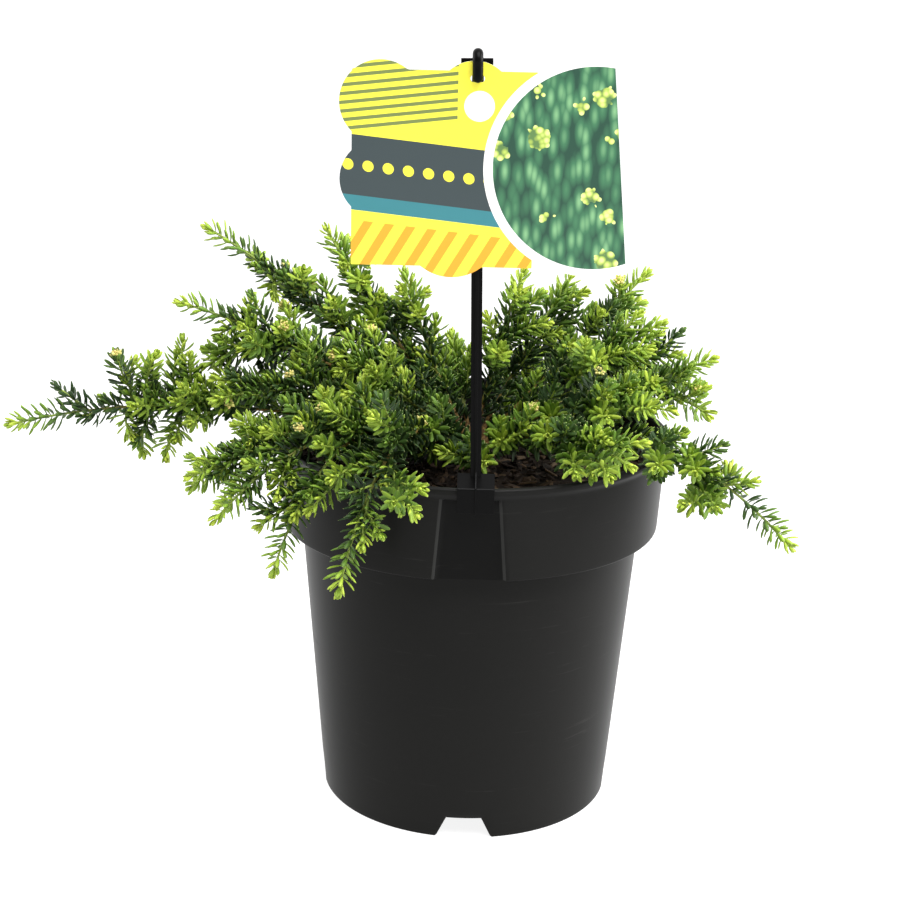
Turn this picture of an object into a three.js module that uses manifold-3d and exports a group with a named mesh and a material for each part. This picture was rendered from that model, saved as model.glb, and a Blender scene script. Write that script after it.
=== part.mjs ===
// A young spreading grevillea in a round nursery pot, with a printed tag on a stick clipped to the rim.
// Millimetres, +Z up. The pot stands on z = 0, and its front, with the tag, faces -Y.

import * as THREE from 'three';
import { mergeVertices } from 'three/addons/utils/BufferGeometryUtils.js';
import Module from 'manifold-3d';

const wasm = await Module();
wasm.setup();

// Driving dimensions of the pot
const POT_HEIGHT = 173;
const RIM_RADIUS = 90;
const FOOT_RADIUS = 66.8;
const BODY_TOP_RADIUS = 77.8;
const BAND_BOTTOM = 130.8;
const BAND_RADIUS = 86.1;
const WALL = 2.1;
const FOOT_WALL = 2.4;
const FOOT_WALL_TOP = 1.5;
const FLOOR_UNDERSIDE = 10.5;
const FLOOR_THICKNESS = 2.4;
const LIP_HEIGHT = 3.2;
const LIP_STEP = 1.2;
const EDGE_ROUND = 0.8;
const POT_SIDES = 40;
const FEATURE_TURN = THREE.MathUtils.degToRad(0.4);

// Feet notches and drain holes
const NOTCH_HEIGHT = 9.8;
const NOTCH_HALF_TOP = 7.9;
const NOTCH_HALF_BOTTOM = 12.5;
const NOTCH_REACH = 9.5;
const DRAIN_RADIUS = 4;
const DRAIN_CIRCLE = 44;
const DRAIN_SIDES = 8;

// The sunk label flat in the band, with the pad that keeps the wall whole behind it
const FLAT_TOP = 167.8;
const FLAT_HALF_TOP = 11.6;
const FLAT_HALF_BOTTOM = 14.4;
const FLAT_DEPTH_TOP = -86.2;
const FLAT_DEPTH_BOTTOM = -82.9;
const FLAT_FLARE = 0.6;
const PAD_WALL = 1.5;
const PAD_MARGIN = 1.7;
const CUTTER_REACH = 6;

// Soil and the woody foot of the plant
const GAP = 0.3;
const SOIL_TOP = 156.5;
const SOIL_RELIEF = 3.4;
const SOIL_SECTORS = 24;
const SOIL_RINGS = [1, 0.86, 0.7, 0.53, 0.36, 0.18];
const TRUNK_RADIUS = 5;
const TRUNK_TOP_RADIUS = 3.4;
const TRUNK_FOOT = 146;
const TRUNK_SIDES = 12;
const CROWN = new THREE.Vector3(0, 0, 162);

// Stems, each in straight lengths between marks along its curve
const BARE_WOOD = 22;
const STEM_RADIUS = 1.7;
const STEM_TIP_RADIUS = 0.75;
const STEM_SIDES = 4;
const STEM_SHARES = [0, 0.28, 0.6];
const LAST_RING = 0.92;
const LIMB_FLARE = 0.2;
const SHOOT_RADIUS = 0.75;
const SHOOT_SIDES = 3;
const ROOT_SHARE = 0.6;
const LONG_SHOOT = 30;
const LONG_SHOOT_MARKS = [0, 0.5, 0.9, 1];
const SHORT_SHOOT_MARKS = [0, 0.85, 1];
const PARENT_PULL = 0.4;

// Needles
const NEEDLE_LENGTH = 10;
const NEEDLE_WIDTH = 2.3;
const NEEDLE_DROP = 2;
const NEEDLE_WIDEST = 0.6;
const NEEDLE_SINK = 0.6;
const NEEDLE_RISE = 0.2;
const NEEDLE_STEP = 12;
const MAIN_NEEDLES_FROM = 0.06;
const SHOOT_NEEDLES_FROM = 0.2;
const LAST_NEEDLE = 0.96;
const OLD_LEAN = 54;
const LEAN_CLOSING = 12;
const YOUNG_SHORTER = 0.12;
const LENGTH_SPREAD = 0.14;
const TURN_SPREAD = 0.3;
const TIP_NEEDLES = 2;
const TIP_STEP = 0.025;
const TIP_LEAN = 30;
const TIP_SHARE = 0.86;
const TOUCH_SHARE = 0.8;

// Room kept free of stems and needles round the pot's wall, the stick and the clip
const WALL_ROOM = 2.5;
const STICK_ROOM = 6;
const CLIP_ROOM = { top: 180, back: -78, front: -93.2 };
const GOLDEN_ANGLE = THREE.MathUtils.degToRad(137.508);

// Stick, clip and tag
const STICK_X = 1.9;
const STICK_Y = -84.2;
const STICK_WIDTH = 4.6;
const STICK_DEPTH = 3.4;
const STICK_WEB = 1.3;
const STICK_FOOT = 176.5;
const STICK_TOP = 346;
const STICK_LEAN = -0.0202;
const STICK_SUNK = 0.5;
const PEG = { half: 1.7, rise: 0.9 };
const CROSSBAR = { left: -6.6, right: 6.0, bottom: 345.4, top: 348.8, depth: 2.4 };
const HOOK_RADIUS = 2.1;
const HOOK_TOP = 353;
const HOOK_END = 339.8;
const HOOK_RINGS = 10;
const HOOK_SIDES = 6;
const CLIP_X = 2;
const CLIP_WIDTH = 15.6;
const CLIP_FRONT = -92.2;
const CLIP_WALL = 1.5;
const CLIP_BOTTOM = 163.4;
const CLIP_DEPTH = 9.9;
const CLIP_ROOF = { front: 174.3, back: 178 };
const RIB = { width: 0.8, proud: 0.45, sunk: 0.3, top: 197 };
const TAG_THICKNESS = 0.8;
const TAG_FRONT = -87.2;
const SLOT = { x: -1.5, z: 341.2, width: 5.8, height: 2.8 };

// Tag outline: a card with round lobes and one large disc whose right side is cut straight
const CARD = { left: -50.6, right: 22, bottom: 266.4, top: 344.1 };
const DISC = { x: 45.4, z: 306.8, radius: 43.2 };
const DISC_CUT = { bottom: [60.2, 262], top: [51.4, 352] };
const LOBES = [
  { x: -39.2, z: 331.4, radius: 16.4 },
  { x: -39.6, z: 300.9, radius: 15.7 },
  { x: -10.4, z: 281.4, radius: 19.4 },
  { x: -2.4, z: 332.9, radius: 15.1 },
];

// Sprays: the main stem's bend and tip, then each side shoot as its place along the main stem and its tip.
const SPRAYS = {
  runner_left: {
    bend: [-117, -8, 197], tip: [-209, -12, 173],
    shoots: [
      [0.70, [-153, -8, 203]], [0.66, [-142, -16, 208]], [0.60, [-135, 2, 204]], [0.55, [-127, -12, 207]],
      [0.72, [-154, -16, 170]], [0.66, [-150, -6, 159]], [0.58, [-137, -22, 163]], [0.62, [-150, -26, 187]],
      [0.50, [-129, -26, 196]], [0.44, [-112, -30, 192]], [0.50, [-125, -28, 180]], [0.42, [-118, 8, 196]],
    ],
  },
  upper_left: {
    bend: [-65, 24, 224], tip: [-123, 20, 259],
    shoots: [
      [0.72, [-91, 8, 230]], [0.62, [-78, 8, 242]], [0.66, [-77, 38, 229]], [0.52, [-88, 22, 222]],
      [0.45, [-64, 2, 230]], [0.80, [-101, 30, 242]],
    ],
  },
  mid_left: {
    bend: [-76, -6, 215], tip: [-133, -2, 229],
    shoots: [
      [0.72, [-101, 2, 231]], [0.68, [-103, -16, 222]], [0.75, [-115, -9, 216]], [0.60, [-85, -14, 222]],
      [0.55, [-103, -20, 213]], [0.60, [-121, -6, 201]], [0.50, [-87, 10, 226]],
    ],
  },
  left_shoulder: {
    bend: [-62, -20, 196], tip: [-115, -22, 199],
    shoots: [
      [0.70, [-113, -34, 193]], [0.60, [-105, -9, 196]], [0.55, [-80, -14, 208]], [0.45, [-78, 2, 205]],
    ],
  },
  left_middle: {
    bend: [-61, -30, 172], tip: [-104, -38, 183],
    shoots: [
      [0.72, [-102, -52, 178]], [0.66, [-95, -58, 181]], [0.40, [-66, -36, 199]], [0.55, [-96, -24, 181]],
    ],
  },
  low_left: {
    bend: [-55, -45, 186], tip: [-117, -60, 172],
    shoots: [
      [0.80, [-122, -50, 158]], [0.72, [-120, -67, 168]], [0.55, [-88, -60, 188]], [0.74, [-104, -58, 160]],
    ],
  },
  left_over_rim: {
    bend: [-62, -54, 207], tip: [-107, -84, 155],
    shoots: [
      [0.76, [-107, -70, 157]], [0.66, [-81, -82, 166]], [0.45, [-74, -62, 193]],
    ],
  },
  droop_left: {
    bend: [-56, -68, 222], tip: [-83, -84, 132],
    shoots: [[0.74, [-90, -76, 150]], [0.42, [-62, -62, 199]], [0.66, [-74, -86, 158]]],
  },
  front_bud: {
    bend: [-36, -70, 200], tip: [-67, -87, 161],
    shoots: [[0.50, [-48, -40, 205]], [0.40, [-22, -52, 191]], [0.68, [-58, -88, 176]]],
  },
  droop_front: {
    bend: [-34, -88, 226], tip: [-54, -99, 130],
    shoots: [[0.56, [-22, -108, 168]], [0.42, [-41, -84, 202]], [0.72, [-44, -102, 152]]],
  },
  front_upright: {
    bend: [-31, -23, 194], tip: [-45, -46, 212],
    shoots: [[0.50, [-32, -24, 205]], [0.60, [-54, -54, 203]]],
  },
  left_inner: {
    bend: [-34, -4, 206], tip: [-63, -12, 209],
    shoots: [[0.55, [-47, 0, 218]], [0.50, [-38, -14, 213]], [0.70, [-58, 4, 214]], [0.66, [-60, -24, 204]]],
  },
  top_left: {
    bend: [-42, 30, 213], tip: [-70, 34, 257],
    shoots: [
      [0.85, [-61, 43, 250]], [0.78, [-60, 22, 243]], [0.70, [-52, 14, 237]], [0.62, [-45, 18, 229]],
      [0.55, [-46, 6, 219]], [0.80, [-49, 48, 240]], [0.60, [-60, 40, 214]], [0.50, [-44, 52, 218]],
    ],
  },
  top_middle: {
    bend: [-22, 14, 203], tip: [-33, 28, 239],
    shoots: [[0.82, [-23, 22, 231]], [0.75, [-34, 12, 234]], [0.70, [-26, 10, 224]], [0.62, [-37, 34, 223]]],
  },
  behind_stake: {
    bend: [-6, 22, 187], tip: [-11, 36, 208],
    shoots: [[0.60, [-20, 46, 201]], [0.50, [0, 30, 204]]],
  },
  right_upright: {
    bend: [7, 12, 200], tip: [21, 14, 243],
    shoots: [
      [0.80, [20, 2, 236]], [0.72, [30, 21, 232]], [0.55, [5, 8, 224]], [0.60, [33, 5, 222]],
      [0.45, [12, -6, 211]],
    ],
  },
  right_top: {
    bend: [21, 22, 202], tip: [44, 30, 239],
    shoots: [[0.78, [50, 21, 233]], [0.74, [42, 42, 229]], [0.60, [39, 13, 215]], [0.65, [57, 38, 216]]],
  },
  right_long: {
    bend: [40, 18, 201], tip: [78, 24, 242],
    shoots: [[0.82, [65, 16, 240]], [0.70, [77, 34, 226]], [0.62, [57, 10, 226]], [0.50, [44, -2, 213]]],
  },
  right_side: {
    bend: [41, -2, 195], tip: [73, -4, 229],
    shoots: [[0.70, [84, 4, 223]], [0.62, [78, -14, 216]], [0.50, [55, -32, 214]], [0.55, [94, 10, 207]]],
  },
  right_arm: {
    bend: [57, -8, 191], tip: [107, -6, 210],
    shoots: [
      [0.74, [99, -20, 200]], [0.66, [104, -28, 190]], [0.60, [79, -28, 204]], [0.50, [68, -38, 203]],
      [0.70, [96, 8, 198]],
    ],
  },
  runner_right: {
    bend: [72, -48, 213], tip: [140, -52, 138],
    shoots: [
      [0.58, [91, -46, 187]], [0.64, [95, -66, 176]], [0.72, [90, -76, 164]], [0.70, [105, -64, 160]],
      [0.52, [77, -80, 182]], [0.78, [112, -38, 170]],
    ],
  },
  front_right: {
    bend: [36, -54, 196], tip: [66, -84, 183],
    shoots: [
      [0.64, [57, -90, 180]], [0.52, [43, -86, 180]], [0.70, [72, -72, 190]], [0.60, [56, -78, 192]],
      [0.42, [32, -64, 190]],
    ],
  },
  right_cushion: {
    bend: [42, -19, 200], tip: [86, -44, 196],
    shoots: [[0.62, [76, -56, 200]], [0.55, [58, -48, 203]], [0.48, [57, -58, 196]], [0.38, [33, -42, 190]]],
  },
  front_short: {
    bend: [9, -27, 171], tip: [24, -42, 186],
    shoots: [[0.60, [12, -42, 180]]],
  },
  front_star: {
    bend: [-2, -34, 172], tip: [6, -62, 176],
    shoots: [[0.60, [-14, -54, 178]]],
  },
  back_left: {
    bend: [-62, 46, 182], tip: [-104, 72, 188],
    shoots: [[0.60, [-84, 50, 199]], [0.70, [-98, 56, 180]], [0.50, [-76, 82, 190]], [0.40, [-46, 58, 192]]],
  },
  back_middle: {
    bend: [-18, 50, 192], tip: [-32, 104, 176],
    shoots: [[0.60, [-46, 84, 180]], [0.60, [-10, 92, 184]], [0.45, [-36, 60, 197]]],
  },
  back_right: {
    bend: [22, 55, 184], tip: [46, 108, 183],
    shoots: [[0.60, [26, 88, 190]], [0.70, [63, 90, 186]], [0.45, [8, 66, 192]]],
  },
  right_back: {
    bend: [52, 38, 184], tip: [94, 64, 184],
    shoots: [[0.60, [84, 40, 191]], [0.70, [76, 84, 186]], [0.48, [54, 62, 198]], [0.40, [34, 50, 205]]],
  },
};

// Materials
const blackPlastic = new THREE.MeshStandardMaterial({ color: '#2d2d2c', roughness: 0.45, metalness: 0 });
const stickPlastic = new THREE.MeshStandardMaterial({ color: '#141414', roughness: 0.35, metalness: 0 });
const barkMix = new THREE.MeshStandardMaterial({ color: '#2b211a', roughness: 0.95, metalness: 0 });
const wood = new THREE.MeshStandardMaterial({ color: '#8a6a35', roughness: 0.8, metalness: 0 });
const leaf = new THREE.MeshStandardMaterial({ color: '#4c7a2c', roughness: 0.5, metalness: 0 });
const card = new THREE.MeshStandardMaterial({ color: '#f4ef4e', roughness: 0.4, metalness: 0 });

// Turns a closed three.js geometry into a solid that can be cut and joined.
function solid(geometry) {
  const bare = geometry.index ? geometry.clone() : geometry;
  bare.deleteAttribute('normal');
  bare.deleteAttribute('uv');
  const merged = mergeVertices(bare, 1e-4);
  const vertProperties = new Float32Array(merged.attributes.position.array);
  const corners = merged.index.array;
  const kept = [];
  for (let at = 0; at < corners.length; at += 3) {
    const [a, b, c] = corners.slice(at, at + 3);
    if (a !== b && b !== c && c !== a) {
      kept.push(a, b, c);
    }
  }
  const triVerts = new Uint32Array(kept);
  const body = new wasm.Manifold(new wasm.Mesh({ numProp: 3, vertProperties, triVerts }));
  if (body.volume() > 0) {
    return body;
  }
  return new wasm.Manifold(new wasm.Mesh({ numProp: 3, vertProperties, triVerts: triVerts.reverse() }));
}

// Turns a solid back into a geometry with flat shading.
function surface(body) {
  const { vertProperties, triVerts } = body.getMesh();
  const geometry = new THREE.BufferGeometry();
  geometry.setAttribute('position', new THREE.BufferAttribute(new Float32Array(vertProperties), 3));
  geometry.setIndex(new THREE.BufferAttribute(new Uint32Array(triVerts), 1));
  geometry.computeVertexNormals();
  return geometry;
}

// Joins many solids into one.
function fuse(bodies) {
  return wasm.Manifold.union(bodies);
}

// A closed solid from rings of points, all with the same count, capped flat or drawn to a point.
function loft(rings, tip) {
  const sides = rings[0].length;
  const points = rings.flat();
  const faces = [];
  for (let ring = 0; ring < rings.length - 1; ring += 1) {
    for (let side = 0; side < sides; side += 1) {
      const a = ring * sides + side;
      const b = ring * sides + (side + 1) % sides;
      faces.push(a, b, b + sides, a, b + sides, a + sides);
    }
  }
  for (let side = 1; side < sides - 1; side += 1) {
    faces.push(0, side + 1, side);
  }
  const last = (rings.length - 1) * sides;
  if (tip) {
    points.push(tip);
    for (let side = 0; side < sides; side += 1) {
      faces.push(last + side, last + (side + 1) % sides, points.length - 1);
    }
  } else {
    for (let side = 1; side < sides - 1; side += 1) {
      faces.push(last, last + side, last + side + 1);
    }
  }
  const geometry = new THREE.BufferGeometry().setFromPoints(points);
  geometry.setIndex(faces);
  return solid(geometry);
}

// A box between two corners.
function block(low, high) {
  const size = [0, 1, 2].map((axis) => high[axis] - low[axis]);
  const centre = [0, 1, 2].map((axis) => (high[axis] + low[axis]) / 2);
  return solid(new THREE.BoxGeometry(...size).translate(...centre));
}

// A plate from an outline in the X-Z plane, from its front face at y back to y + thickness.
function plate(shape, front, thickness, curveSegments) {
  const geometry = new THREE.ExtrudeGeometry(shape, { depth: thickness, bevelEnabled: false, curveSegments });
  geometry.rotateX(Math.PI / 2);
  geometry.translate(0, front + thickness, 0);
  return solid(geometry);
}

// A prism from an outline of [y, z] points, centred on x and run along X.
function barAlongX(outline, x, width) {
  const shape = new THREE.Shape(outline.map(([y, z]) => new THREE.Vector2(y, z)));
  const geometry = new THREE.ExtrudeGeometry(shape, { depth: width, bevelEnabled: false });
  geometry.applyMatrix4(new THREE.Matrix4().set(
    0, 0, 1, x - width / 2,
    1, 0, 0, 0,
    0, 1, 0, 0,
    0, 0, 0, 1,
  ));
  return solid(geometry);
}

// A repeatable draw between 0 and 1.
function scatter(seed) {
  const wave = Math.sin(seed * 127.1 + 311.7) * 43758.5453;
  return wave - Math.floor(wave);
}

// The wall's inner radius at a height above the floor
function innerRadius(z) {
  if (z > BAND_BOTTOM + WALL) {
    const up = (z - BAND_BOTTOM) / (POT_HEIGHT - BAND_BOTTOM);
    return THREE.MathUtils.lerp(BAND_RADIUS - WALL, RIM_RADIUS - LIP_HEIGHT, up);
  }
  return THREE.MathUtils.lerp(FOOT_RADIUS, BODY_TOP_RADIUS, z / BAND_BOTTOM) - WALL;
}

function makePot() {
  const floorTop = FLOOR_UNDERSIDE + FLOOR_THICKNESS;
  const shoulder = BAND_BOTTOM + WALL;
  const profile = [
    [0, FLOOR_UNDERSIDE],
    [FOOT_RADIUS - FOOT_WALL_TOP, FLOOR_UNDERSIDE],
    [FOOT_RADIUS - FOOT_WALL, 0],
    [FOOT_RADIUS, 0],
    [BODY_TOP_RADIUS, BAND_BOTTOM],
    [BAND_RADIUS - EDGE_ROUND, BAND_BOTTOM],
    [BAND_RADIUS, BAND_BOTTOM + EDGE_ROUND],
    [RIM_RADIUS - LIP_STEP, POT_HEIGHT - LIP_HEIGHT - LIP_STEP],
    [RIM_RADIUS, POT_HEIGHT - LIP_HEIGHT],
    [RIM_RADIUS, POT_HEIGHT - EDGE_ROUND],
    [RIM_RADIUS - EDGE_ROUND, POT_HEIGHT],
    [RIM_RADIUS - LIP_HEIGHT, POT_HEIGHT],
    [innerRadius(shoulder + 0.4), shoulder + 0.4],
    [innerRadius(shoulder), shoulder],
    [innerRadius(floorTop), floorTop],
    [0, floorTop],
  ];
  const lathe = new THREE.LatheGeometry(profile.map(([r, z]) => new THREE.Vector2(r, z)), POT_SIDES);
  lathe.rotateX(Math.PI / 2);
  lathe.rotateZ(Math.PI / POT_SIDES);
  const wall = solid(lathe);

  const padTop = POT_HEIGHT - EDGE_ROUND;
  const pad = barAlongX([
    [FLAT_DEPTH_TOP - 0.5, padTop],
    [FLAT_DEPTH_TOP - 0.1, FLAT_TOP],
    [FLAT_DEPTH_BOTTOM - 1.4, BAND_BOTTOM + 0.4],
    [FLAT_DEPTH_BOTTOM + PAD_WALL, BAND_BOTTOM + 0.4],
    [FLAT_DEPTH_TOP + PAD_WALL, FLAT_TOP],
    [FLAT_DEPTH_TOP + PAD_WALL, padTop],
  ], 0, 2 * (FLAT_HALF_TOP + PAD_MARGIN));

  const front = -RIM_RADIUS - CUTTER_REACH;
  const flatBottom = BAND_BOTTOM - EDGE_ROUND;
  const flareTop = FLAT_FLARE * (FLAT_DEPTH_TOP - front);
  const flareBottom = FLAT_FLARE * (FLAT_DEPTH_BOTTOM - front);
  const sunkFlat = loft([
    trapezium(FLAT_HALF_BOTTOM, FLAT_DEPTH_BOTTOM, flatBottom, FLAT_HALF_TOP, FLAT_DEPTH_TOP, FLAT_TOP),
    trapezium(FLAT_HALF_BOTTOM + flareBottom, front, flatBottom, FLAT_HALF_TOP + flareTop, front, FLAT_TOP),
  ]);

  let pot = wall.add(pad).subtract(sunkFlat);
  const notchFoot = 2 * NOTCH_HALF_BOTTOM - NOTCH_HALF_TOP;
  const notchBack = -FOOT_RADIUS + NOTCH_REACH;
  const notchFront = -FOOT_RADIUS - NOTCH_REACH;
  for (let quarter = 0; quarter < 4; quarter += 1) {
    const turn = 90 * quarter;
    const notch = loft([
      trapezium(notchFoot, notchBack, -NOTCH_HEIGHT, NOTCH_HALF_TOP, notchBack, NOTCH_HEIGHT),
      trapezium(notchFoot, notchFront, -NOTCH_HEIGHT, NOTCH_HALF_TOP, notchFront, NOTCH_HEIGHT),
    ]);
    const drain = new THREE.CylinderGeometry(DRAIN_RADIUS, DRAIN_RADIUS, 3 * FLOOR_THICKNESS, DRAIN_SIDES);
    drain.rotateX(Math.PI / 2);
    drain.translate(DRAIN_CIRCLE, 0, FLOOR_UNDERSIDE + FLOOR_THICKNESS / 2);
    pot = pot.subtract(notch.rotate([0, 0, turn])).subtract(solid(drain).rotate([0, 0, turn + 45]));
  }
  const geometry = surface(pot);
  geometry.rotateZ(FEATURE_TURN);
  return geometry;
}

function makeSoil() {
  const bottom = FLOOR_UNDERSIDE + FLOOR_THICKNESS + GAP;
  const shoulder = BAND_BOTTOM + WALL + GAP;
  const walls = [
    [innerRadius(bottom) - 2 * GAP, bottom],
    [innerRadius(BAND_BOTTOM) - 2 * GAP, shoulder],
    [innerRadius(shoulder) - 2.3 * GAP, shoulder + 0.6],
  ];
  const edge = innerRadius(SOIL_TOP) - 3 * GAP;
  const ring = (radius, heightAt) => Array.from({ length: SOIL_SECTORS }, (_, sector) => {
    const angle = 2 * Math.PI * sector / SOIL_SECTORS;
    return new THREE.Vector3(radius * Math.cos(angle), radius * Math.sin(angle), heightAt(sector));
  });
  const rings = walls.map(([radius, z]) => ring(radius, () => z));
  SOIL_RINGS.forEach((share, row) => {
    const relief = row === 0 ? 0.4 * SOIL_RELIEF : SOIL_RELIEF;
    rings.push(ring(share * edge, (sector) => SOIL_TOP + relief * (scatter(31 * row + sector) - 0.5)));
  });
  const padRoom = block(
    [-FLAT_HALF_BOTTOM - 3, -RIM_RADIUS, BAND_BOTTOM],
    [FLAT_HALF_BOTTOM + 3, FLAT_DEPTH_BOTTOM + PAD_WALL + GAP, POT_HEIGHT],
  );
  const holeRadius = TRUNK_RADIUS + 2 * GAP;
  const holeDepth = 40;
  const hole = new THREE.CylinderGeometry(holeRadius, holeRadius, holeDepth, TRUNK_SIDES);
  hole.rotateX(Math.PI / 2);
  hole.translate(0, 0, TRUNK_FOOT - GAP + holeDepth / 2);
  return surface(loft(rings, new THREE.Vector3(0, 0, SOIL_TOP)).subtract(solid(hole)).subtract(padRoom));
}

// A four-cornered face from its lower edge to its upper edge, with half widths along X.
function trapezium(lowHalf, lowY, lowZ, highHalf, highY, highZ) {
  return [
    new THREE.Vector3(-lowHalf, lowY, lowZ),
    new THREE.Vector3(lowHalf, lowY, lowZ),
    new THREE.Vector3(highHalf, highY, highZ),
    new THREE.Vector3(-highHalf, highY, highZ),
  ];
}

// A level direction square to the one given
function sideways(direction) {
  const level = new THREE.Vector3(0, 0, 1).cross(direction);
  return level.length() > 0.01 ? level.normalize() : new THREE.Vector3(1, 0, 0);
}

// A flat curve keeps one direction square to it all the way: the normal of its plane.
function acrossOf(curve) {
  const first = curve.getTangent(0);
  const normal = first.clone().cross(curve.getTangent(1));
  return normal.length() > 0.1 ? normal.normalize() : sideways(first);
}

// A stem in straight lengths between marked places on a curve, with a ring of the given radius at each.
// With one mark more than there are radii, it ends there in a point.
function stem(curve, marks, radii, sides) {
  const across = acrossOf(curve);
  const rings = radii.map((radius, index) => {
    const centre = curve.getPoint(marks[index]);
    const up = curve.getTangent(marks[index]).cross(across).normalize();
    return Array.from({ length: sides }, (_, side) => {
      const angle = 2 * Math.PI * side / sides;
      return centre.clone()
        .addScaledVector(across, radius * Math.cos(angle))
        .addScaledVector(up, radius * Math.sin(angle));
    });
  });
  return loft(rings, marks.length > radii.length ? curve.getPoint(marks.at(-1)) : null);
}

// The main stem of a spray
function mainCurve(spray) {
  const [bend, tip] = [spray.bend, spray.tip].map((place) => new THREE.Vector3(...place));
  return new THREE.QuadraticBezierCurve3(CROWN, bend, tip);
}

// A side shoot leaves along its parent stem, from the middle of it, and turns towards its own tip.
function shootCurve({ curve: parent, marks }, along, tip) {
  const next = marks.findIndex((mark) => mark > along);
  const [before, after] = [marks[next - 1], marks[next]];
  const start = parent.getPoint(before).lerp(parent.getPoint(after), (along - before) / (after - before));
  const reach = new THREE.Vector3().subVectors(tip, start);
  const half = reach.length() / 2;
  const heading = parent.getTangent(along).multiplyScalar(PARENT_PULL)
    .addScaledVector(reach.normalize(), 1 - PARENT_PULL)
    .normalize();
  return new THREE.QuadraticBezierCurve3(start, start.clone().addScaledVector(heading, half), tip);
}

// The place on a curve that lies a given length from its start
function markAt(curve, distance) {
  return curve.getUtoTmapping(0, distance);
}

// Rounded bars that stand for what is already placed, to keep stems and needles clear of each other
const placed = [];

// The least distance between two straight lines, each from a start to an end
function distanceBetween(startA, endA, startB, endB) {
  const alongA = new THREE.Vector3().subVectors(endA, startA);
  const alongB = new THREE.Vector3().subVectors(endB, startB);
  const apart = new THREE.Vector3().subVectors(startA, startB);
  const squareA = alongA.dot(alongA);
  const squareB = alongB.dot(alongB);
  const both = alongA.dot(alongB);
  const fromA = alongA.dot(apart);
  const fromB = alongB.dot(apart);
  const spread = squareA * squareB - both * both;
  let s = spread > 1e-9 ? THREE.MathUtils.clamp((both * fromB - fromA * squareB) / spread, 0, 1) : 0;
  let t = (both * s + fromB) / squareB;
  if (t < 0 || t > 1) {
    t = THREE.MathUtils.clamp(t, 0, 1);
    s = THREE.MathUtils.clamp((both * t - fromA) / squareA, 0, 1);
  }
  return apart.addScaledVector(alongA, s).addScaledVector(alongB, -t).length();
}

// A needle keeps its whole length clear of other nodes, and its outer part clear of its own spray.
function hasRoom(bar) {
  return placed.every((other) => {
    if (other.owner !== bar.owner) {
      return distanceBetween(bar.start, bar.end, other.start, other.end) > bar.radius + other.radius + GAP;
    }
    if (other.isStem && other.stemNumber === bar.stemNumber) {
      return true;
    }
    const apart = distanceBetween(bar.outer, bar.end, other.outer, other.end);
    return apart > TOUCH_SHARE * (bar.radius + other.radius);
  });
}

// True where a point lies in or too near the pot wall, the soil, the stick or the clip.
function nearHardware(point, radius) {
  const out = Math.hypot(point.x, point.y);
  const margin = radius + GAP;
  const inPot = point.z < POT_HEIGHT + margin && out < RIM_RADIUS + margin;
  if (inPot && out > innerRadius(point.z) - WALL_ROOM - margin) {
    return true;
  }
  if (out < RIM_RADIUS && point.z < SOIL_TOP + SOIL_RELIEF / 2 + margin) {
    return true;
  }
  const byClip = Math.abs(point.x - CLIP_X) < CLIP_WIDTH / 2 + margin && point.z < CLIP_ROOM.top + margin;
  const byStick = Math.abs(point.x) < STICK_ROOM + margin;
  return (byClip || byStick) && point.y < CLIP_ROOM.back + margin && point.y > CLIP_ROOM.front - margin;
}

// One needle, its keel running from inside the stem to the tip and its margins widest past the middle
function needle(root, direction, face, length, sink) {
  const side = new THREE.Vector3().crossVectors(direction, face).normalize();
  const under = new THREE.Vector3().crossVectors(direction, side).normalize();
  const at = (along, across, below) => root.clone()
    .addScaledVector(direction, along)
    .addScaledVector(side, across)
    .addScaledVector(under, below);
  const widest = NEEDLE_WIDEST * length;
  const corners = [
    at(-sink, 0, 0),
    at(widest, -NEEDLE_WIDTH / 2, 0),
    at(widest, NEEDLE_WIDTH / 2, 0),
    at(length, 0, NEEDLE_DROP),
  ];
  const geometry = new THREE.BufferGeometry().setFromPoints(corners);
  geometry.setIndex([0, 1, 2, 1, 3, 2, 0, 3, 1, 0, 2, 3]);
  return solid(geometry);
}

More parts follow.
